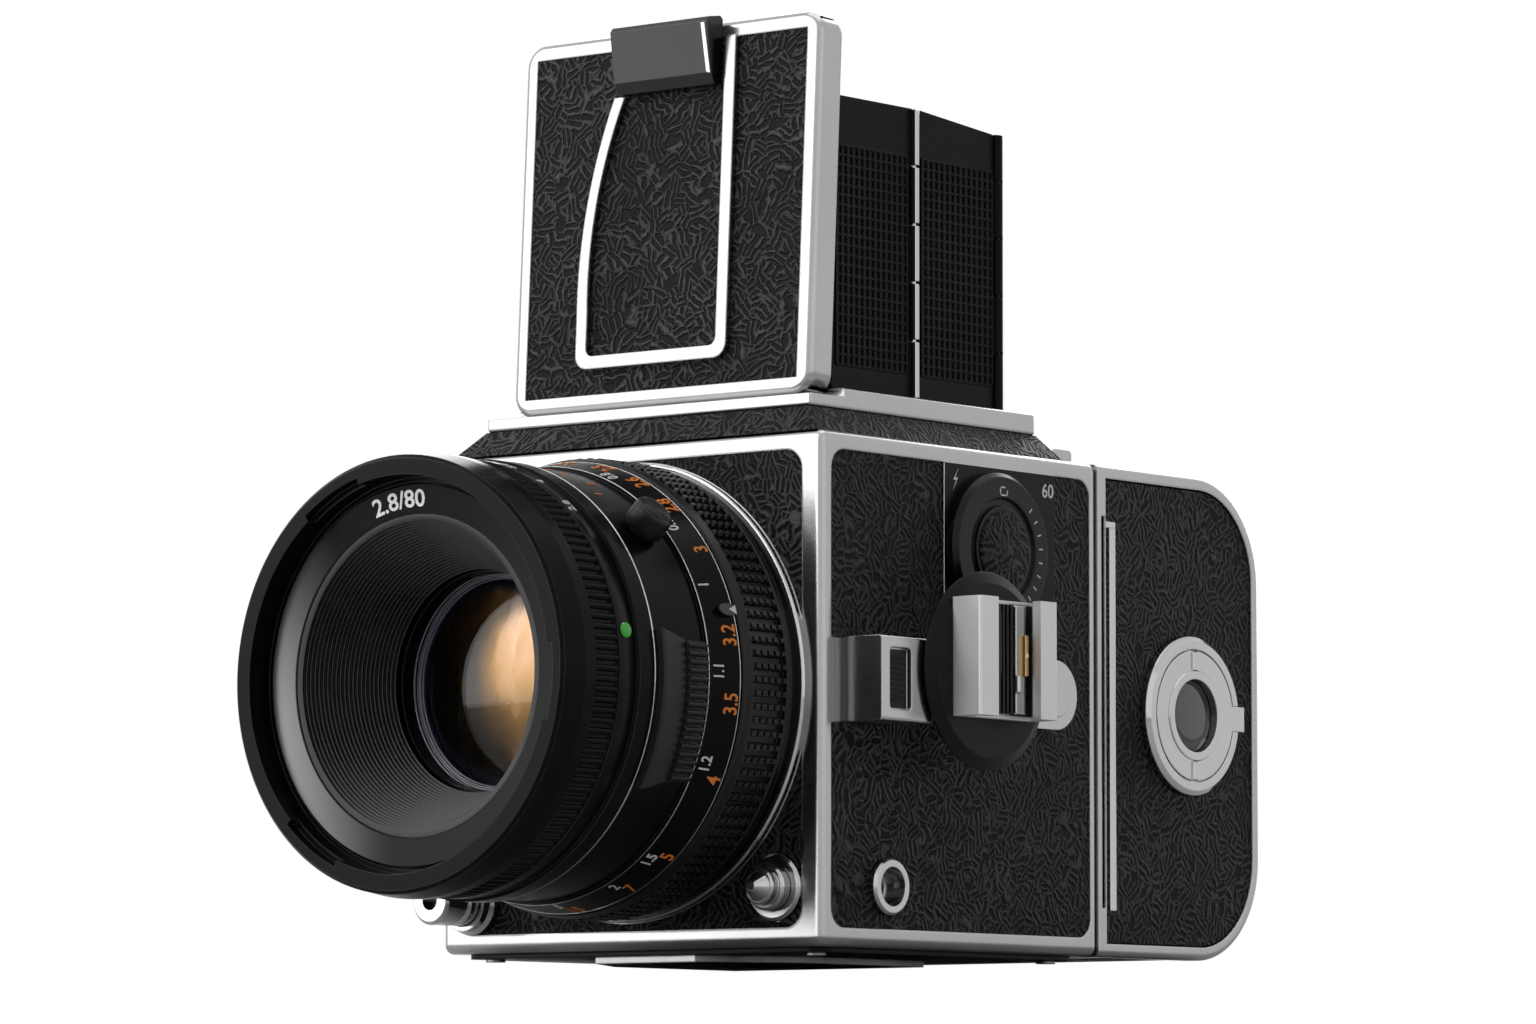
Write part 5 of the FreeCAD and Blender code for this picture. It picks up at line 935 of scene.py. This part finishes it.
def weld(mesh: bpy.types.Mesh) -> None:
    """Join points that lie together and turn all the faces outwards."""
    work = bmesh.new()
    work.from_mesh(mesh)
    bmesh.ops.remove_doubles(work, verts=work.verts, dist=WELD_DISTANCE)
    bmesh.ops.dissolve_degenerate(work, edges=work.edges, dist=WELD_DISTANCE / 10)
    bmesh.ops.recalc_face_normals(work, faces=work.faces)
    work.to_mesh(mesh)
    work.free()


# Sub-assemblies

def dress(nodes: dict[str, bpy.types.Object]) -> None:
    """Give every CAD node its finish.

    Args:
        nodes: The frame's nodes by name.
    """
    finishes = {name: finish for finish, names in FINISHES for name in names.split()}
    for name, node in nodes.items():
        finish = finishes[name]
        if not node.material_slots:
            node.data.materials.append(finish.material())
        for held in node.material_slots:
            held.material = finish.material()
        LOG.info("dressed %s in %s", name, finish.name)


@dataclass
class FocusTread:
    """The focusing ring with its rows of small blocks between two smooth rims."""

    rear: float = 3.3
    front: float = 15.8
    bore: float = 35.15
    root: float = 37.6
    rows: int = 108
    bumps: int = 5
    pitch: float = 1.72
    first: float = 5.2
    width: float = 1.3
    length: float = 1.4
    height: float = 1.25
    web_height: float = 0.7

    def build(self) -> None:
        """Build the ring, which stands for the toothed CAD ring."""
        ring = Piece("focus_tread", "focus_ring", RUBBER)
        end = self.first + self.bumps * self.pitch
        ring.turned((
            (self.rear, self.bore), (self.rear, self.root + 0.5), (self.rear + 0.3, self.root + 0.9),
            (self.first - 0.5, self.root + 1.0), (self.first - 0.25, self.root + 0.8),
            (self.first - 0.2, self.root), (end, self.root), (end + 0.05, self.root + 0.8),
            (end + 0.3, self.root + 1.05), (self.front - 0.3, self.root + 0.65),
            (self.front, self.root + 0.3), (self.front, self.bore),
        ))
        half = self.width / 2
        for row in range(self.rows):
            ground = Band(self.root, self.first, 360.0 * row / self.rows)
            web = (-half * 0.9, -0.2, half * 0.9, self.pitch * self.bumps)
            ring.pad(ground, web, self.web_height, 0.15)
            for bump in range(self.bumps):
                low = bump * self.pitch
                ring.pad(ground, (-half, low, half, low + self.length), self.height, 0.3)
        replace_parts(ring.make(30.0), "focus_ring")


@dataclass
class ApertureTread:
    """The aperture ring with its half-round ribs between a plain rim and a step."""

    rear: float = 41.0
    first: float = 45.4
    front: float = 51.1
    bore: float = 33.6
    root: float = 35.55
    rim: float = 36.15
    ribs: int = 132
    share: float = 0.36
    height: float = 0.72

    def build(self) -> None:
        """Build the ring, which stands for the toothed CAD ring."""
        ring = Piece("aperture_tread", "aperture_ring", ANODISED)
        ring.turned((
            (self.rear, self.bore), (self.rear, self.rim - 0.2), (self.rear + 0.25, self.rim),
            (self.first - 0.5, self.rim), (self.first - 0.3, self.rim - 0.2),
            (self.first - 0.25, self.root), (self.front, self.root), (self.front, self.bore),
        ))
        half = FULL_TURN * self.root / self.ribs * self.share
        round_turns = (0.0, 0.55, 1.15, math.pi / 2, math.pi - 1.15, math.pi - 0.55, math.pi)
        section = [(half * math.cos(turn), self.height * math.sin(turn) - SINK) for turn in round_turns]
        for rib in range(self.ribs):
            ground = Band(self.root, self.first, 360.0 * rib / self.ribs)
            ring.bar(ground, section, 0.0, self.front - self.first - 0.15)
        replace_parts(ring.make(40.0), "aperture_ring")


@dataclass
class FineBaffle:
    """The baffle cone with its many fine steps."""

    front: float = 53.75
    depth: float = 15.9
    outer: float = 26.5
    inner: float = 19.25
    wall: float = 0.3
    lip: float = 0.6
    notch: float = 0.5
    steps: int = 23

    def build(self) -> None:
        """Build the cone, which stands for the CAD cone with fewer steps."""
        run, drop = self.depth / self.steps, (self.outer - self.inner) / self.steps
        profile = []
        for step in range(self.steps):
            radius = self.outer - self.lip - drop * step
            low = radius - self.notch
            start = self.front - run * step
            profile += [(start, radius), (start - run * 0.15, low), (start - run * 0.5, low)]
        end = self.front - self.depth
        profile += [(end, self.inner - 0.2), (end, self.inner + self.wall), (self.front, self.outer)]
        cone = Piece("fine_baffle", "lens_head", RIDGED).turned(profile)
        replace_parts(cone.make(20.0), "baffle_cone")


@dataclass
class TerminalCap:
    """The round cap on the flash terminal, with a dished and grooved top."""

    angle: float = 42.0
    station: float = 29.0
    foot: float = 36.65
    top: float = 40.75
    radius: float = 3.55
    bore: float = 2.4
    bore_depth: float = 1.2
    grooves: int = 5
    groove_pitch: float = 0.5
    groove_depth: float = 0.22

    def build(self) -> None:
        """Build the cap, which stands for the plain CAD cap."""
        turn = math.radians(self.angle)
        foot, top, radius = self.foot, self.top, self.radius
        profile = [
            (foot, self.bore), (foot, radius - 0.15), (foot + 0.2, radius), (top - 0.75, radius - 0.05),
            (top - 0.3, radius - 0.2), (top - 0.05, radius - 0.55), (top, radius - 0.85),
        ]
        floor = top - self.groove_depth
        for groove in range(self.grooves):
            out = radius - 1.0 - self.groove_pitch * groove
            profile += [(floor, out - 0.08), (floor, out - 0.2), (top - 0.05 - 0.03 * groove, out - 0.3)]
        inside = foot + self.bore_depth
        profile += [(top - 0.2, 0.0), (inside, 0.0), (inside, self.bore)]
        cap = Piece("terminal_cap", "sync_cap", PLASTIC)
        start = (0.0, BODY_FRONT - self.station, LENS_HEIGHT)
        cap.around(start, (math.cos(turn), 0.0, math.sin(turn)), BACK, profile, 64)
        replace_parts(cap.make(30.0), "sync_cap")


@dataclass
class PreviewTab:
    """The grey lug on the sleeve: a plate with slanted ends and a row of ribs behind it."""

    low: float = -27.0
    high: float = 8.0
    inner: float = 36.1
    plate_top: float = 38.1
    rib_top: float = 39.0
    rib_height: float = 0.5
    rear: float = 25.65
    step: float = 30.2
    front: float = 35.85
    spread: float = 3.0
    ribs: int = 17
    share: float = 0.36
    steps: int = 24

    def build(self) -> None:
        """Build the plate and its ribs."""
        plate = Piece("tab_plate", "preview_tab", GREY)
        self.block(plate, self.step, self.front, self.plate_top, self.spread, 0.35)
        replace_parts(plate.make(30.0), "preview_tab")
        ribs = Piece("tab_ribs", "preview_tab", PLASTIC)
        root = self.rib_top - self.rib_height
        self.block(ribs, self.rear, self.step + 0.1, root, 0.0, 0.2)
        pitch = (self.high - self.low) / self.ribs
        half = math.radians(pitch) * self.rib_top * self.share
        round_turns = (0.0, 0.6, 1.2, 1.9, 2.5, math.pi)
        section = [(half * math.cos(turn), self.rib_height * math.sin(turn)) for turn in round_turns]
        for rib in range(self.ribs):
            ground = Band(root, self.rear, self.low + pitch * (rib + 0.5))
            ribs.bar(ground, section, 0.15, self.step - self.rear + 0.35)
        ribs.make(50.0)

    def block(
        self, piece: Piece, rear: float, front: float, top: float, spread: float, slope: float,
    ) -> None:
        """Add a curved block round the sleeve.

        Args:
            piece: The piece it is added to.
            rear: Its rear station.
            front: Its front station.
            top: The radius of its outside.
            spread: How many degrees longer its front edge is at each end.
            slope: How much its outside's edges are cut back.
        """
        points = []
        section = (
            (rear, self.inner, 0.0), (rear, top - slope, 0.0), (rear + slope, top, 0.1),
            (front - slope, top, 0.9), (front, top - slope, 1.0), (front, self.inner, 1.0),
        )
        for step in range(self.steps + 1):
            for station, radius, reach in section:
                more = spread * reach
                angle = self.low - more + (self.high - self.low + 2 * more) * step / self.steps
                points.append(Band(radius, station, angle).at(0.0, 0.0, 0.0))
        count = len(section)
        last = self.steps * count
        faces = [tuple(range(count)), tuple(reversed(range(last, last + count)))]
        for here in range(0, last, count):
            for index in range(count):
                first, after = here + index, here + (index + 1) % count
                faces.append((first, after, after + count, first + count))
        piece.add(points, faces)


@dataclass
class LensMarks:
    """The figures, the index, the dot and the bright lines on the lens."""

    slope: float = 0.2131
    scale_radius: float = 37.9
    scale_start: float = 16.4
    ring_radius: float = 36.15
    sleeve_radius: float = 36.0
    speed_stations: Pair = (30.8, 28.2)
    index_angle: float = 17.3
    dot_angle: float = 10.3
    dot_steps: int = 24
    dot_levels: tuple[Pair, ...] = ((1.3, 0.0), (1.24, 0.3), (1.0, 0.5), (0.56, 0.62), (0.0, 0.66))
    feet: tuple[tuple[str, float], ...] = (
        ("2.4", 88.0), ("2.5", 75.0), ("2.6", 63.0), ("2.8", 51.0), ("3", 35.0), ("3.2", 10.8),
        ("3.5", -6.6), ("4", -26.5), ("5", -50.6), ("7", -65.0), ("15", -84.0),
    )
    metres: tuple[tuple[str, float], ...] = (
        ("0.8", 69.0), ("0.9", 44.0), ("1", 24.5), ("1.1", 1.5), ("1.2", -22.6), ("1.5", -53.2),
        ("2", -66.6), ("5", -86.0),
    )
    stops: tuple[tuple[str, float], ...] = (
        ("2.8", 49.0), ("4", 61.0), ("5.6", 73.0), ("8", 85.0), ("11", 97.0), ("16", 109.0), ("22", 121.0),
    )
    speeds: tuple[tuple[str, float], ...] = (
        ("1", 57.5), ("2", 64.5), ("4", 71.5), ("8", 79.0), ("15", 87.0), ("30", 95.0), ("60", 104.0),
        ("125", 114.0), ("250", 124.0), ("500", 134.0),
    )
    plate: tuple[Pair, ...] = ((53.85, 26.65), (54.0, 26.75), (54.6, 31.2), (53.85, 31.3))
    rings: tuple[tuple[str, float, float, float], ...] = (
        ("shutter_ring_line", 36.5, 36.44, 0.4), ("scale_line", 22.95, 36.55, 0.2),
        ("tread_line", 16.45, 37.82, 0.16),
    )

    def build(self) -> None:
        """Write the scales and the name ring's figures."""
        self.scales()
        self.index()
        self.dot()
        self.name_ring()
        self.lines()

    def scale(self, station: float, angle: float) -> Band:
        """Give the conical scale band's surface at a station and an angle."""
        radius = self.scale_radius - self.slope * (station - self.scale_start)
        return Band(radius, station, angle, self.slope)

    def scales(self) -> None:
        """Write the distance, aperture and shutter figures."""
        for name, finish, size, station, figures in (
            ("distance_feet", ORANGE, 3.9, 18.1, self.feet),
            ("distance_metres", WHITE, 3.0, 20.8, self.metres),
        ):
            distances = Piece(name, "lens_head", finish)
            for text, angle in figures:
                distances.letters(text, size, self.scale(station, angle), bold=0.05, narrow=0.8)
            distances.make()
        stops = Piece("aperture_figures", "aperture_ring", WHITE)
        for text, angle in self.stops:
            stops.letters(text, 2.3, Band(self.ring_radius, 43.2, angle), bold=0.03)
        stops.make()
        speeds = Piece("shutter_figures", "lens_head", ORANGE)
        for number, (text, angle) in enumerate(self.speeds):
            station = self.speed_stations[number % 2]
            speeds.letters(text, 2.3, Band(self.sleeve_radius, station, angle), bold=0.03)
        speeds.make()

    def index(self) -> None:
        """Build the oval index with its white triangle."""
        oval = [(-1.1 * math.sin(turn), 2.2 * math.cos(turn)) for turn in turns(32)]
        ground = Band(37.8, 17.9, self.index_angle)
        Piece("scale_index", "lens_head", GLOSS).outline(ground, oval, 0.35).make()
        triangle = ((0.8, -0.8), (0.0, 1.0), (-0.8, -0.8))
        ground = Band(38.12, 16.7, self.index_angle)
        Piece("index_arrow", "lens_head", WHITE).outline(ground, triangle, 0.08).make()

    def dot(self) -> None:
        """Build the round green dot on the aperture ring."""
        dot = Piece("aperture_dot", "aperture_ring", GREEN)
        ground = Band(36.1, 43.0, self.dot_angle)
        steps, levels = self.dot_steps, self.dot_levels
        points = [
            ground.at(radius * math.cos(turn), radius * math.sin(turn), height)
            for radius, height in levels[:-1] for turn in turns(steps)
        ]
        points.append(ground.at(0.0, 0.0, levels[-1][1]))
        faces = []
        top = (len(levels) - 2) * steps
        for start in range(0, top, steps):
            for step in range(steps):
                here, there = start + step, start + (step + 1) % steps
                faces.append((here, there, there + steps, here + steps))
        faces.extend((top + step, top + (step + 1) % steps, len(points) - 1) for step in range(steps))
        dot.add(points, faces)
        dot.make(60.0)

    def name_ring(self) -> None:
        """Build the name plate and write the generic lens figures on it."""
        Piece("name_plate", "lens_head", NAME_PLATE).turned(self.plate).make()
        figures = Piece("name_figures", "lens_head", WHITE)
        face = RingFace(28.9, 54.3, 97.0, 0.135)
        figures.letters("2.8/80", 4.0, face, height=0.08, bold=0.06, narrow=1.15)
        figures.make()

    def lines(self) -> None:
        """Build the thin bright lines round the lens."""
        for name, station, radius, width in self.rings:
            rear, front = station - width / 2, station + width / 2
            Piece(name, "lens_head", TURNED).turned((
                (rear, radius - 0.5), (rear, radius + 0.05), (station, radius + 0.14),
                (front, radius + 0.05), (front, radius - 0.5),
            )).make()


@dataclass
class LensGlasses:
    """The coated glass in the front cell, with its retaining rings."""

    cell: float = 18.05
    edge: float = 34.4
    apex: float = 37.0
    inner: float = 16.9
    inner_edge: float = 31.9
    inner_apex: float = 35.2
    ring_rear: float = 31.0
    steps: int = 128

    def build(self) -> None:
        """Build the front element, the rings behind it and the coated inner element."""
        edge = self.edge
        rear_face = self.dome(self.cell, edge - 0.9, self.apex - 1.1)
        profile = (*self.dome(self.cell, edge, self.apex), *reversed(rear_face))
        front = Piece("front_element", "lens_head", LENS_GLASS).turned(profile, self.steps)
        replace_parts(front.make(60.0), "lens_elements")
        Piece("cell_rings", "lens_head", CELL).turned((
            (self.ring_rear, self.cell), (edge - 1.2, self.cell), (edge - 1.2, 17.75),
            (edge - 1.5, 17.65), (edge - 1.5, 17.4), (edge - 1.9, 17.3), (edge - 1.9, 17.1),
            (self.ring_rear, 17.0),
        ), self.steps).make(20.0)
        dome = self.dome(self.inner, self.inner_edge, self.inner_apex)
        profile = (*dome, (31.1, 0.0), (31.1, self.inner))
        Piece("inner_element", "lens_head", PAINTED_REFLECTION_COATING).turned(profile, self.steps).make(60.0)

    def dome(self, radius: float, edge: float, apex: float, steps: int = 14) -> list[Pair]:
        """Give a dome's profile from its rim to its middle.

        Args:
            radius: The rim's radius.
            edge: The rim's station.
            apex: The middle's station.
            steps: How many steps the profile has.

        Returns:
            Pairs of station and radius.
        """
        rise = apex - edge
        ball = (radius * radius + rise * rise) / (2 * rise)
        outs = [radius * (1 - step / steps) for step in range(steps + 1)]
        return [(apex - ball + math.sqrt(ball * ball - out * out), out) for out in outs]


@dataclass
class HoodGrids:
    """The grids of fine ribs on the hood's leaves."""

    low: float = 101.2
    high: float = 138.8
    upright_pitch: float = 1.55
    level_pitch: float = 1.72
    rib: float = 0.62
    height: float = 0.28
    face: float = 30.4
    rear_face: float = 26.7

    def build(self) -> None:
        """Build one grid on each leaf."""
        right, left, forward = (self.face, 0.0, 0.0), (-self.face, 0.0, 0.0), (0.0, -1.0, 0.0)
        for body, middle, along, start, end in (
            ("right_front_leaf", right, BACK, -20.4, -0.9),
            ("right_rear_leaf", right, BACK, 3.3, 23.3),
            ("left_front_leaf", left, forward, 0.9, 20.4),
            ("left_rear_leaf", left, forward, -23.3, -3.3),
            ("rear_leaf", (0.0, self.rear_face, 0.0), (-1.0, 0.0, 0.0), -26.5, 26.5),
        ):
            self.grid(body, Flat(middle, along, UP), start, end)

    def grid(self, body: str, ground: Ground, start: float, end: float) -> None:
        """Build the ribs of one leaf.

        Args:
            body: The leaf's body.
            ground: The leaf's outer face.
            start: Where the grid starts along it.
            end: Where it ends.
        """
        grid = Piece(body + "_grid", body, SATIN)
        low, high, half = self.low, self.high, self.rib / 2
        columns = round((end - start) / self.upright_pitch)
        for column in range(columns + 1):
            place = start + (end - start) * column / columns
            grid.pad(ground, (place - half, low, place + half, high), self.height, 0.12)
        half = self.rib / 2.4
        rows = round((high - low) / self.level_pitch)
        for row in range(rows + 1):
            place = low + (high - low) * row / rows
            grid.pad(ground, (start, place - half, end, place + half), self.height - 0.04, 0.1)
        grid.make(25.0)


@dataclass
class SideDetails:
    """The small pieces on the shoe's side: marks, the dial's disc, the rail's window, a painted highlight on
    the plate's edge.
    """

    frame_mark: Flat = Flat((BODY_SIDE, 24.0, 82.0), BACK, UP)
    flash_mark: Flat = Flat((BODY_SIDE, -2.3, 82.2), BACK, UP)
    flash: tuple[Pair, ...] = (
        (0.9, 2.0), (-0.55, -0.1), (0.25, -0.1), (-0.7, -2.0), (0.75, 0.35), (0.0, 0.35),
    )
    dial: Point = (44.3, 8.4, 70.6)
    dial_disc: tuple[Pair, ...] = ((0.0, 0.0), (0.0, 6.9), (0.35, 6.8), (0.5, 6.5), (0.5, 0.0))
    dial_window: tuple[Box, ...] = (
        (-1.1, 9.4, -0.85, 11.0), (-1.1, 9.4, 1.1, 9.65), (-1.1, 10.75, 0.4, 11.0), (0.85, 9.4, 1.1, 10.4),
    )
    dial_lines: int = 9
    dial_line_radius: float = 10.6
    rail_window: Point = (49.85, -28.7, 46.4)
    rail_ribs: int = 9
    rail_pitch: float = 0.92
    plate_edge_highlight: Block = ((BODY_SIDE, -5.4, 70.0), (-0.12, -13.8, 0.12, 14.8), 0.06, 0.03)

    def build(self) -> None:
        """Build the side's small pieces."""
        marks = Piece("plate_marks", "camera_body", WHITE)
        marks.letters("60", 3.4, self.frame_mark, bold=0.04)
        marks.outline(self.flash_mark, self.flash, 0.06).make()
        self.speed_dial()
        window = Piece("rail_window", "camera_body", PLASTIC)
        window.blocks([(self.rail_window, (-2.6, -4.9, 2.6, 4.9), 0.12, 0.05)])
        for rib in range(self.rail_ribs):
            low = -3.9 + rib * self.rail_pitch
            window.blocks([(self.rail_window, (-1.9, low, 1.9, low + 0.4), 0.5, 0.1)])
        window.make()
        # Painted highlight: a thin bright pad along the black plate's edge.
        Piece("plate_edge_highlight", "camera_body", BRIGHT).blocks([self.plate_edge_highlight]).make()

    def speed_dial(self) -> None:
        """Build the film speed dial's disc, and the window and the lines round it."""
        face, y, z = self.dial
        disc = Piece("dial_disc", "speed_dial", LEATHER)
        disc.around((face - SINK, y, z), RIGHT, BACK, self.dial_disc).make()
        mark = Piece("dial_mark", "speed_dial", WHITE)
        mark.blocks((self.dial, box, 0.05, 0.0) for box in self.dial_window)
        for number in range(self.dial_lines):
            turn = math.radians(-60 + 13 * number)
            across, up = math.cos(turn), math.sin(turn)
            middle = (face, y + self.dial_line_radius * across, z + self.dial_line_radius * up)
            ground = Flat(middle, (0.0, -up, across), (0.0, -across, -up))
            mark.pad(ground, (-0.12, -0.5, 0.12, 0.5), 0.04)
        mark.make()


@dataclass
class ShoeDetails:
    """The bright floor, the dark ribs, the bracket and the contact inside the shoe."""

    floor: tuple[Block, ...] = (
        ((54.92, -8.2, 50.7), (-4.0, -9.4, 3.8, 9.4), 0.1, 0.05),
        ((55.7, -2.4, 50.7), (-1.7, -9.2, 1.3, 9.2), 0.45, 0.12),
        ((56.15, -3.4, 46.6), (-0.9, -1.6, 0.4, 1.6), 0.5, 0.2),
    )
    ribs: int = 7
    rib_pitch: float = 1.1
    first_rib: Point = (55.0, -11.7, 50.7)
    bracket: Flat = Flat((55.9, -9.6, 53.4), BACK, UP)
    bracket_size: Pair = (1.3, 6.1)
    squareness: float = 0.4
    contact: tuple[Block, ...] = (
        ((56.1, -1.7, 51.4), (-0.7, -3.6, 0.5, 3.6), 0.75, 0.2),
        ((56.1, -1.7, 51.4), (-0.3, -0.5, 0.2, 0.5), 0.95, 0.1),
    )

    def build(self) -> None:
        """Build what lies inside the shoe."""
        Piece("shoe_floor", "accessory_shoe", BRIGHT).blocks(self.floor).make()
        ribs = Piece("shoe_ribs", "accessory_shoe", PLASTIC)
        x, y, z = self.first_rib
        for rib in range(self.ribs):
            ribs.blocks([((x, y + self.rib_pitch * rib, z), (-0.34, -9.3, 0.34, 9.3), 1.1, 0.12)])
        wide, tall = self.bracket_size
        ring = [
            (wide * self.squared(math.cos(turn)), tall * self.squared(math.sin(turn))) for turn in turns(32)
        ]
        ribs.outline(self.bracket, ring, 0.5).make()
        Piece("shoe_contact", "accessory_shoe", BRASS).blocks(self.contact).make()

    def squared(self, value: float) -> float:
        """Move a sine or cosine towards 1 or -1, so that a round outline has squarer corners."""
        return math.copysign(abs(value) ** self.squareness, value)


@dataclass
class MagazineDetails:
    """The key's window and engraved lines, and the bright seam beside the covering."""

    key: Point = (41.75, 65.6, 45.2)
    window: tuple[Pair, ...] = ((0.0, 0.0), (0.0, 6.45), (0.5, 6.4), (0.8, 5.6), (0.95, 4.0), (1.0, 0.0))
    seam: tuple[Block, ...] = (
        ((41.75, 43.1, 44.0), (-0.9, -34.0, 0.9, 34.2), 0.22, 0.1),
        ((41.75, 43.1, 44.0), (-1.9, 33.0, 0.9, 34.2), 0.2, 0.1),
    )
    lines: tuple[Block, ...] = (
        ((43.55, 64.6, 54.9), (-0.2, -1.6, 0.2, 1.6), 0.06, 0.0),
        ((43.55, 64.6, 35.5), (-0.2, -1.6, 0.2, 1.6), 0.06, 0.0),
    )

    def build(self) -> None:
        """Build the window, the seam and the lines."""
        window = Piece("key_window", "insert_key", DARK_GLASS)
        window.around(self.key, RIGHT, BACK, self.window).make(50.0)
        Piece("seam_strip", "film_insert", BRIGHT).blocks(self.seam).make()
        Piece("key_lines", "insert_key", WHITE).blocks(self.lines).make()


@dataclass
class LidDetails:
    """A painted highlight on the lid's latch: a bright chrome band on its sloped end."""

    lean: float = -0.12
    drop: float = 1.5
    highlight_outline: tuple[Pair, ...] = ((-0.85, -8.4), (-0.05, -8.7), (-0.5, 0.0), (-1.3, 0.0))

    def build(self) -> None:
        """Build the painted highlight on the sloped right end of the latch."""
        low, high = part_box("lid_latch")
        middle = (high.x / MM, low.y / MM, high.z / MM - self.drop)
        ground = Flat(middle, RIGHT, (0.0, self.lean, 1.0))
        # Painted highlight: a bright chrome band where the sloped end catches the light.
        Piece("latch_painted_highlight", "lid_latch", BRIGHT).outline(ground, self.highlight_outline, 0.16, 0.4).make()


# Studio

@dataclass
class Studio:
    """The camera, the lamps, the floor and the white background."""

    azimuth: float = 38.976
    elevation: float = -5.319
    roll: float = 0.073
    place: Point = (751.32, -929.60, -32.11)
    focal_pixels: float = 6891.59
    width_pixels: float = 1536.0
    sensor: float = 36.0
    clip: Pair = (0.01, 20.0)
    ambient: float = 0.12
    floor_half: float = 1.6
    floor_level: float = -0.0004
    floor_steps: int = 16
    lamps: tuple[tuple[str, Point, Point, float, float], ...] = (
        ("key_lamp", (-950.0, -1500.0, 700.0), (0.0, 0.0, 70.0), 2200.0, 40.0),
        ("fill_lamp", (1500.0, -500.0, 500.0), (0.0, 0.0, 60.0), 1300.0, 1.2),
        ("top_lamp", (0.0, 150.0, 1500.0), (0.0, 0.0, 60.0), 1300.0, 6.5),
        ("rear_lamp", (-700.0, 1500.0, 800.0), (0.0, 0.0, 60.0), 1300.0, 16.0),
    )

    def build(self) -> None:
        """Build the studio."""
        scene = bpy.context.scene
        scene.view_settings.view_transform = "Standard"
        self.shoot(scene)
        self.light(scene)
        self.background(scene)
        self.floor(scene)

    def shoot(self, scene: bpy.types.Scene) -> None:
        """Set up the camera where the photograph was taken from."""
        azimuth, elevation, roll = map(math.radians, (self.azimuth, self.elevation, self.roll))
        back = Vector((
            math.sin(azimuth) * math.cos(elevation), -math.cos(azimuth) * math.cos(elevation),
            math.sin(elevation),
        ))
        level = Vector((math.cos(azimuth), math.sin(azimuth), 0.0))
        upright = back.cross(level)
        right = level * math.cos(roll) + upright * math.sin(roll)
        up = upright * math.cos(roll) - level * math.sin(roll)
        data = bpy.data.cameras.new("photo_camera")
        data.sensor_fit, data.sensor_width = "HORIZONTAL", self.sensor
        data.lens = self.focal_pixels / self.width_pixels * self.sensor
        data.clip_start, data.clip_end = self.clip
        camera = bpy.data.objects.new("photo_camera", data)
        scene.collection.objects.link(camera)
        turn = Matrix((right, up, back)).transposed()
        camera.matrix_world = Matrix.Translation(Vector(self.place) * MM) @ turn.to_4x4()
        scene.camera = camera

    def light(self, scene: bpy.types.Scene) -> None:
        """Hang the soft lamps."""
        for name, place, aim, size, power in self.lamps:
            data = bpy.data.lights.new(name, "AREA")
            data.shape, data.size, data.energy = "SQUARE", size * MM, power
            lamp = bpy.data.objects.new(name, data)
            scene.collection.objects.link(lamp)
            lamp.location = Vector(place) * MM
            way = (Vector(aim) - Vector(place)).normalized()
            lamp.rotation_euler = way.to_track_quat("-Z", "Y").to_euler()

    def background(self, scene: bpy.types.Scene) -> None:
        """Make the background white for the camera and in reflections, and dim as a light."""
        world = bpy.data.worlds.new("studio_world")
        world.use_nodes = True
        scene.world = world
        graph = Graph(world.node_tree)
        path = graph.node("ShaderNodeLightPath", output="Is Camera Ray")
        seen = (path + path.other("Is Glossy Ray") + path.other("Is Transmission Ray")).kept()
        strength = self.ambient + seen * (1.0 - self.ambient)
        white = {"Color": (1.0, 1.0, 1.0, 1.0), "Strength": strength}
        graph.close(graph.node("ShaderNodeBackground", None, white), "ShaderNodeOutputWorld")

    def floor(self, scene: bpy.types.Scene) -> None:
        """Lay the pale floor, which can't be seen from below."""
        mesh = bpy.data.meshes.new("floor")
        half, steps, wide = self.floor_half, self.floor_steps, self.floor_steps + 1
        lines = [-half + 2 * half * step / steps for step in range(wide)]
        corners = [row * wide + column for row in range(steps) for column in range(steps)]
        mesh.from_pydata(
            [(x, y, self.floor_level) for y in lines for x in lines], [],
            [(corner, corner + 1, corner + wide + 1, corner + wide) for corner in corners],
        )
        made = bpy.data.objects.new("floor", mesh)
        scene.collection.objects.link(made)
        material = bpy.data.materials.new("pale_floor")
        material.use_nodes = True
        graph = Graph(material.node_tree)
        clouds = graph.noise(graph.place(), 3.0, 3.0)
        top = graph.surface(
            Base_Color=graph.mix(clouds, (0.80, 0.80, 0.80), (0.84, 0.84, 0.84)),
            Roughness=(0.7 + clouds * 0.1), Specular_IOR_Level=0.2,
        )
        below = graph.node("ShaderNodeNewGeometry", output="Backfacing")
        graph.close(graph.blend(below, top, graph.node("ShaderNodeBsdfTransparent")))
        mesh.materials.append(material)


def main() -> None:
    """Load the frame, dress it and set up the studio."""
    logging.basicConfig(level=logging.INFO, format="%(name)s: %(message)s")
    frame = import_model()
    Studio().build()
    dress(frame["nodes"])
    for assembly in (
        FocusTread(), ApertureTread(), FineBaffle(), TerminalCap(), PreviewTab(), LensMarks(),
        LensGlasses(), HoodGrids(), SideDetails(), ShoeDetails(), MagazineDetails(), LidDetails(),
    ):
        LOG.info("building %s", type(assembly).__name__)
        assembly.build()


if __name__ == "__main__":
    main()
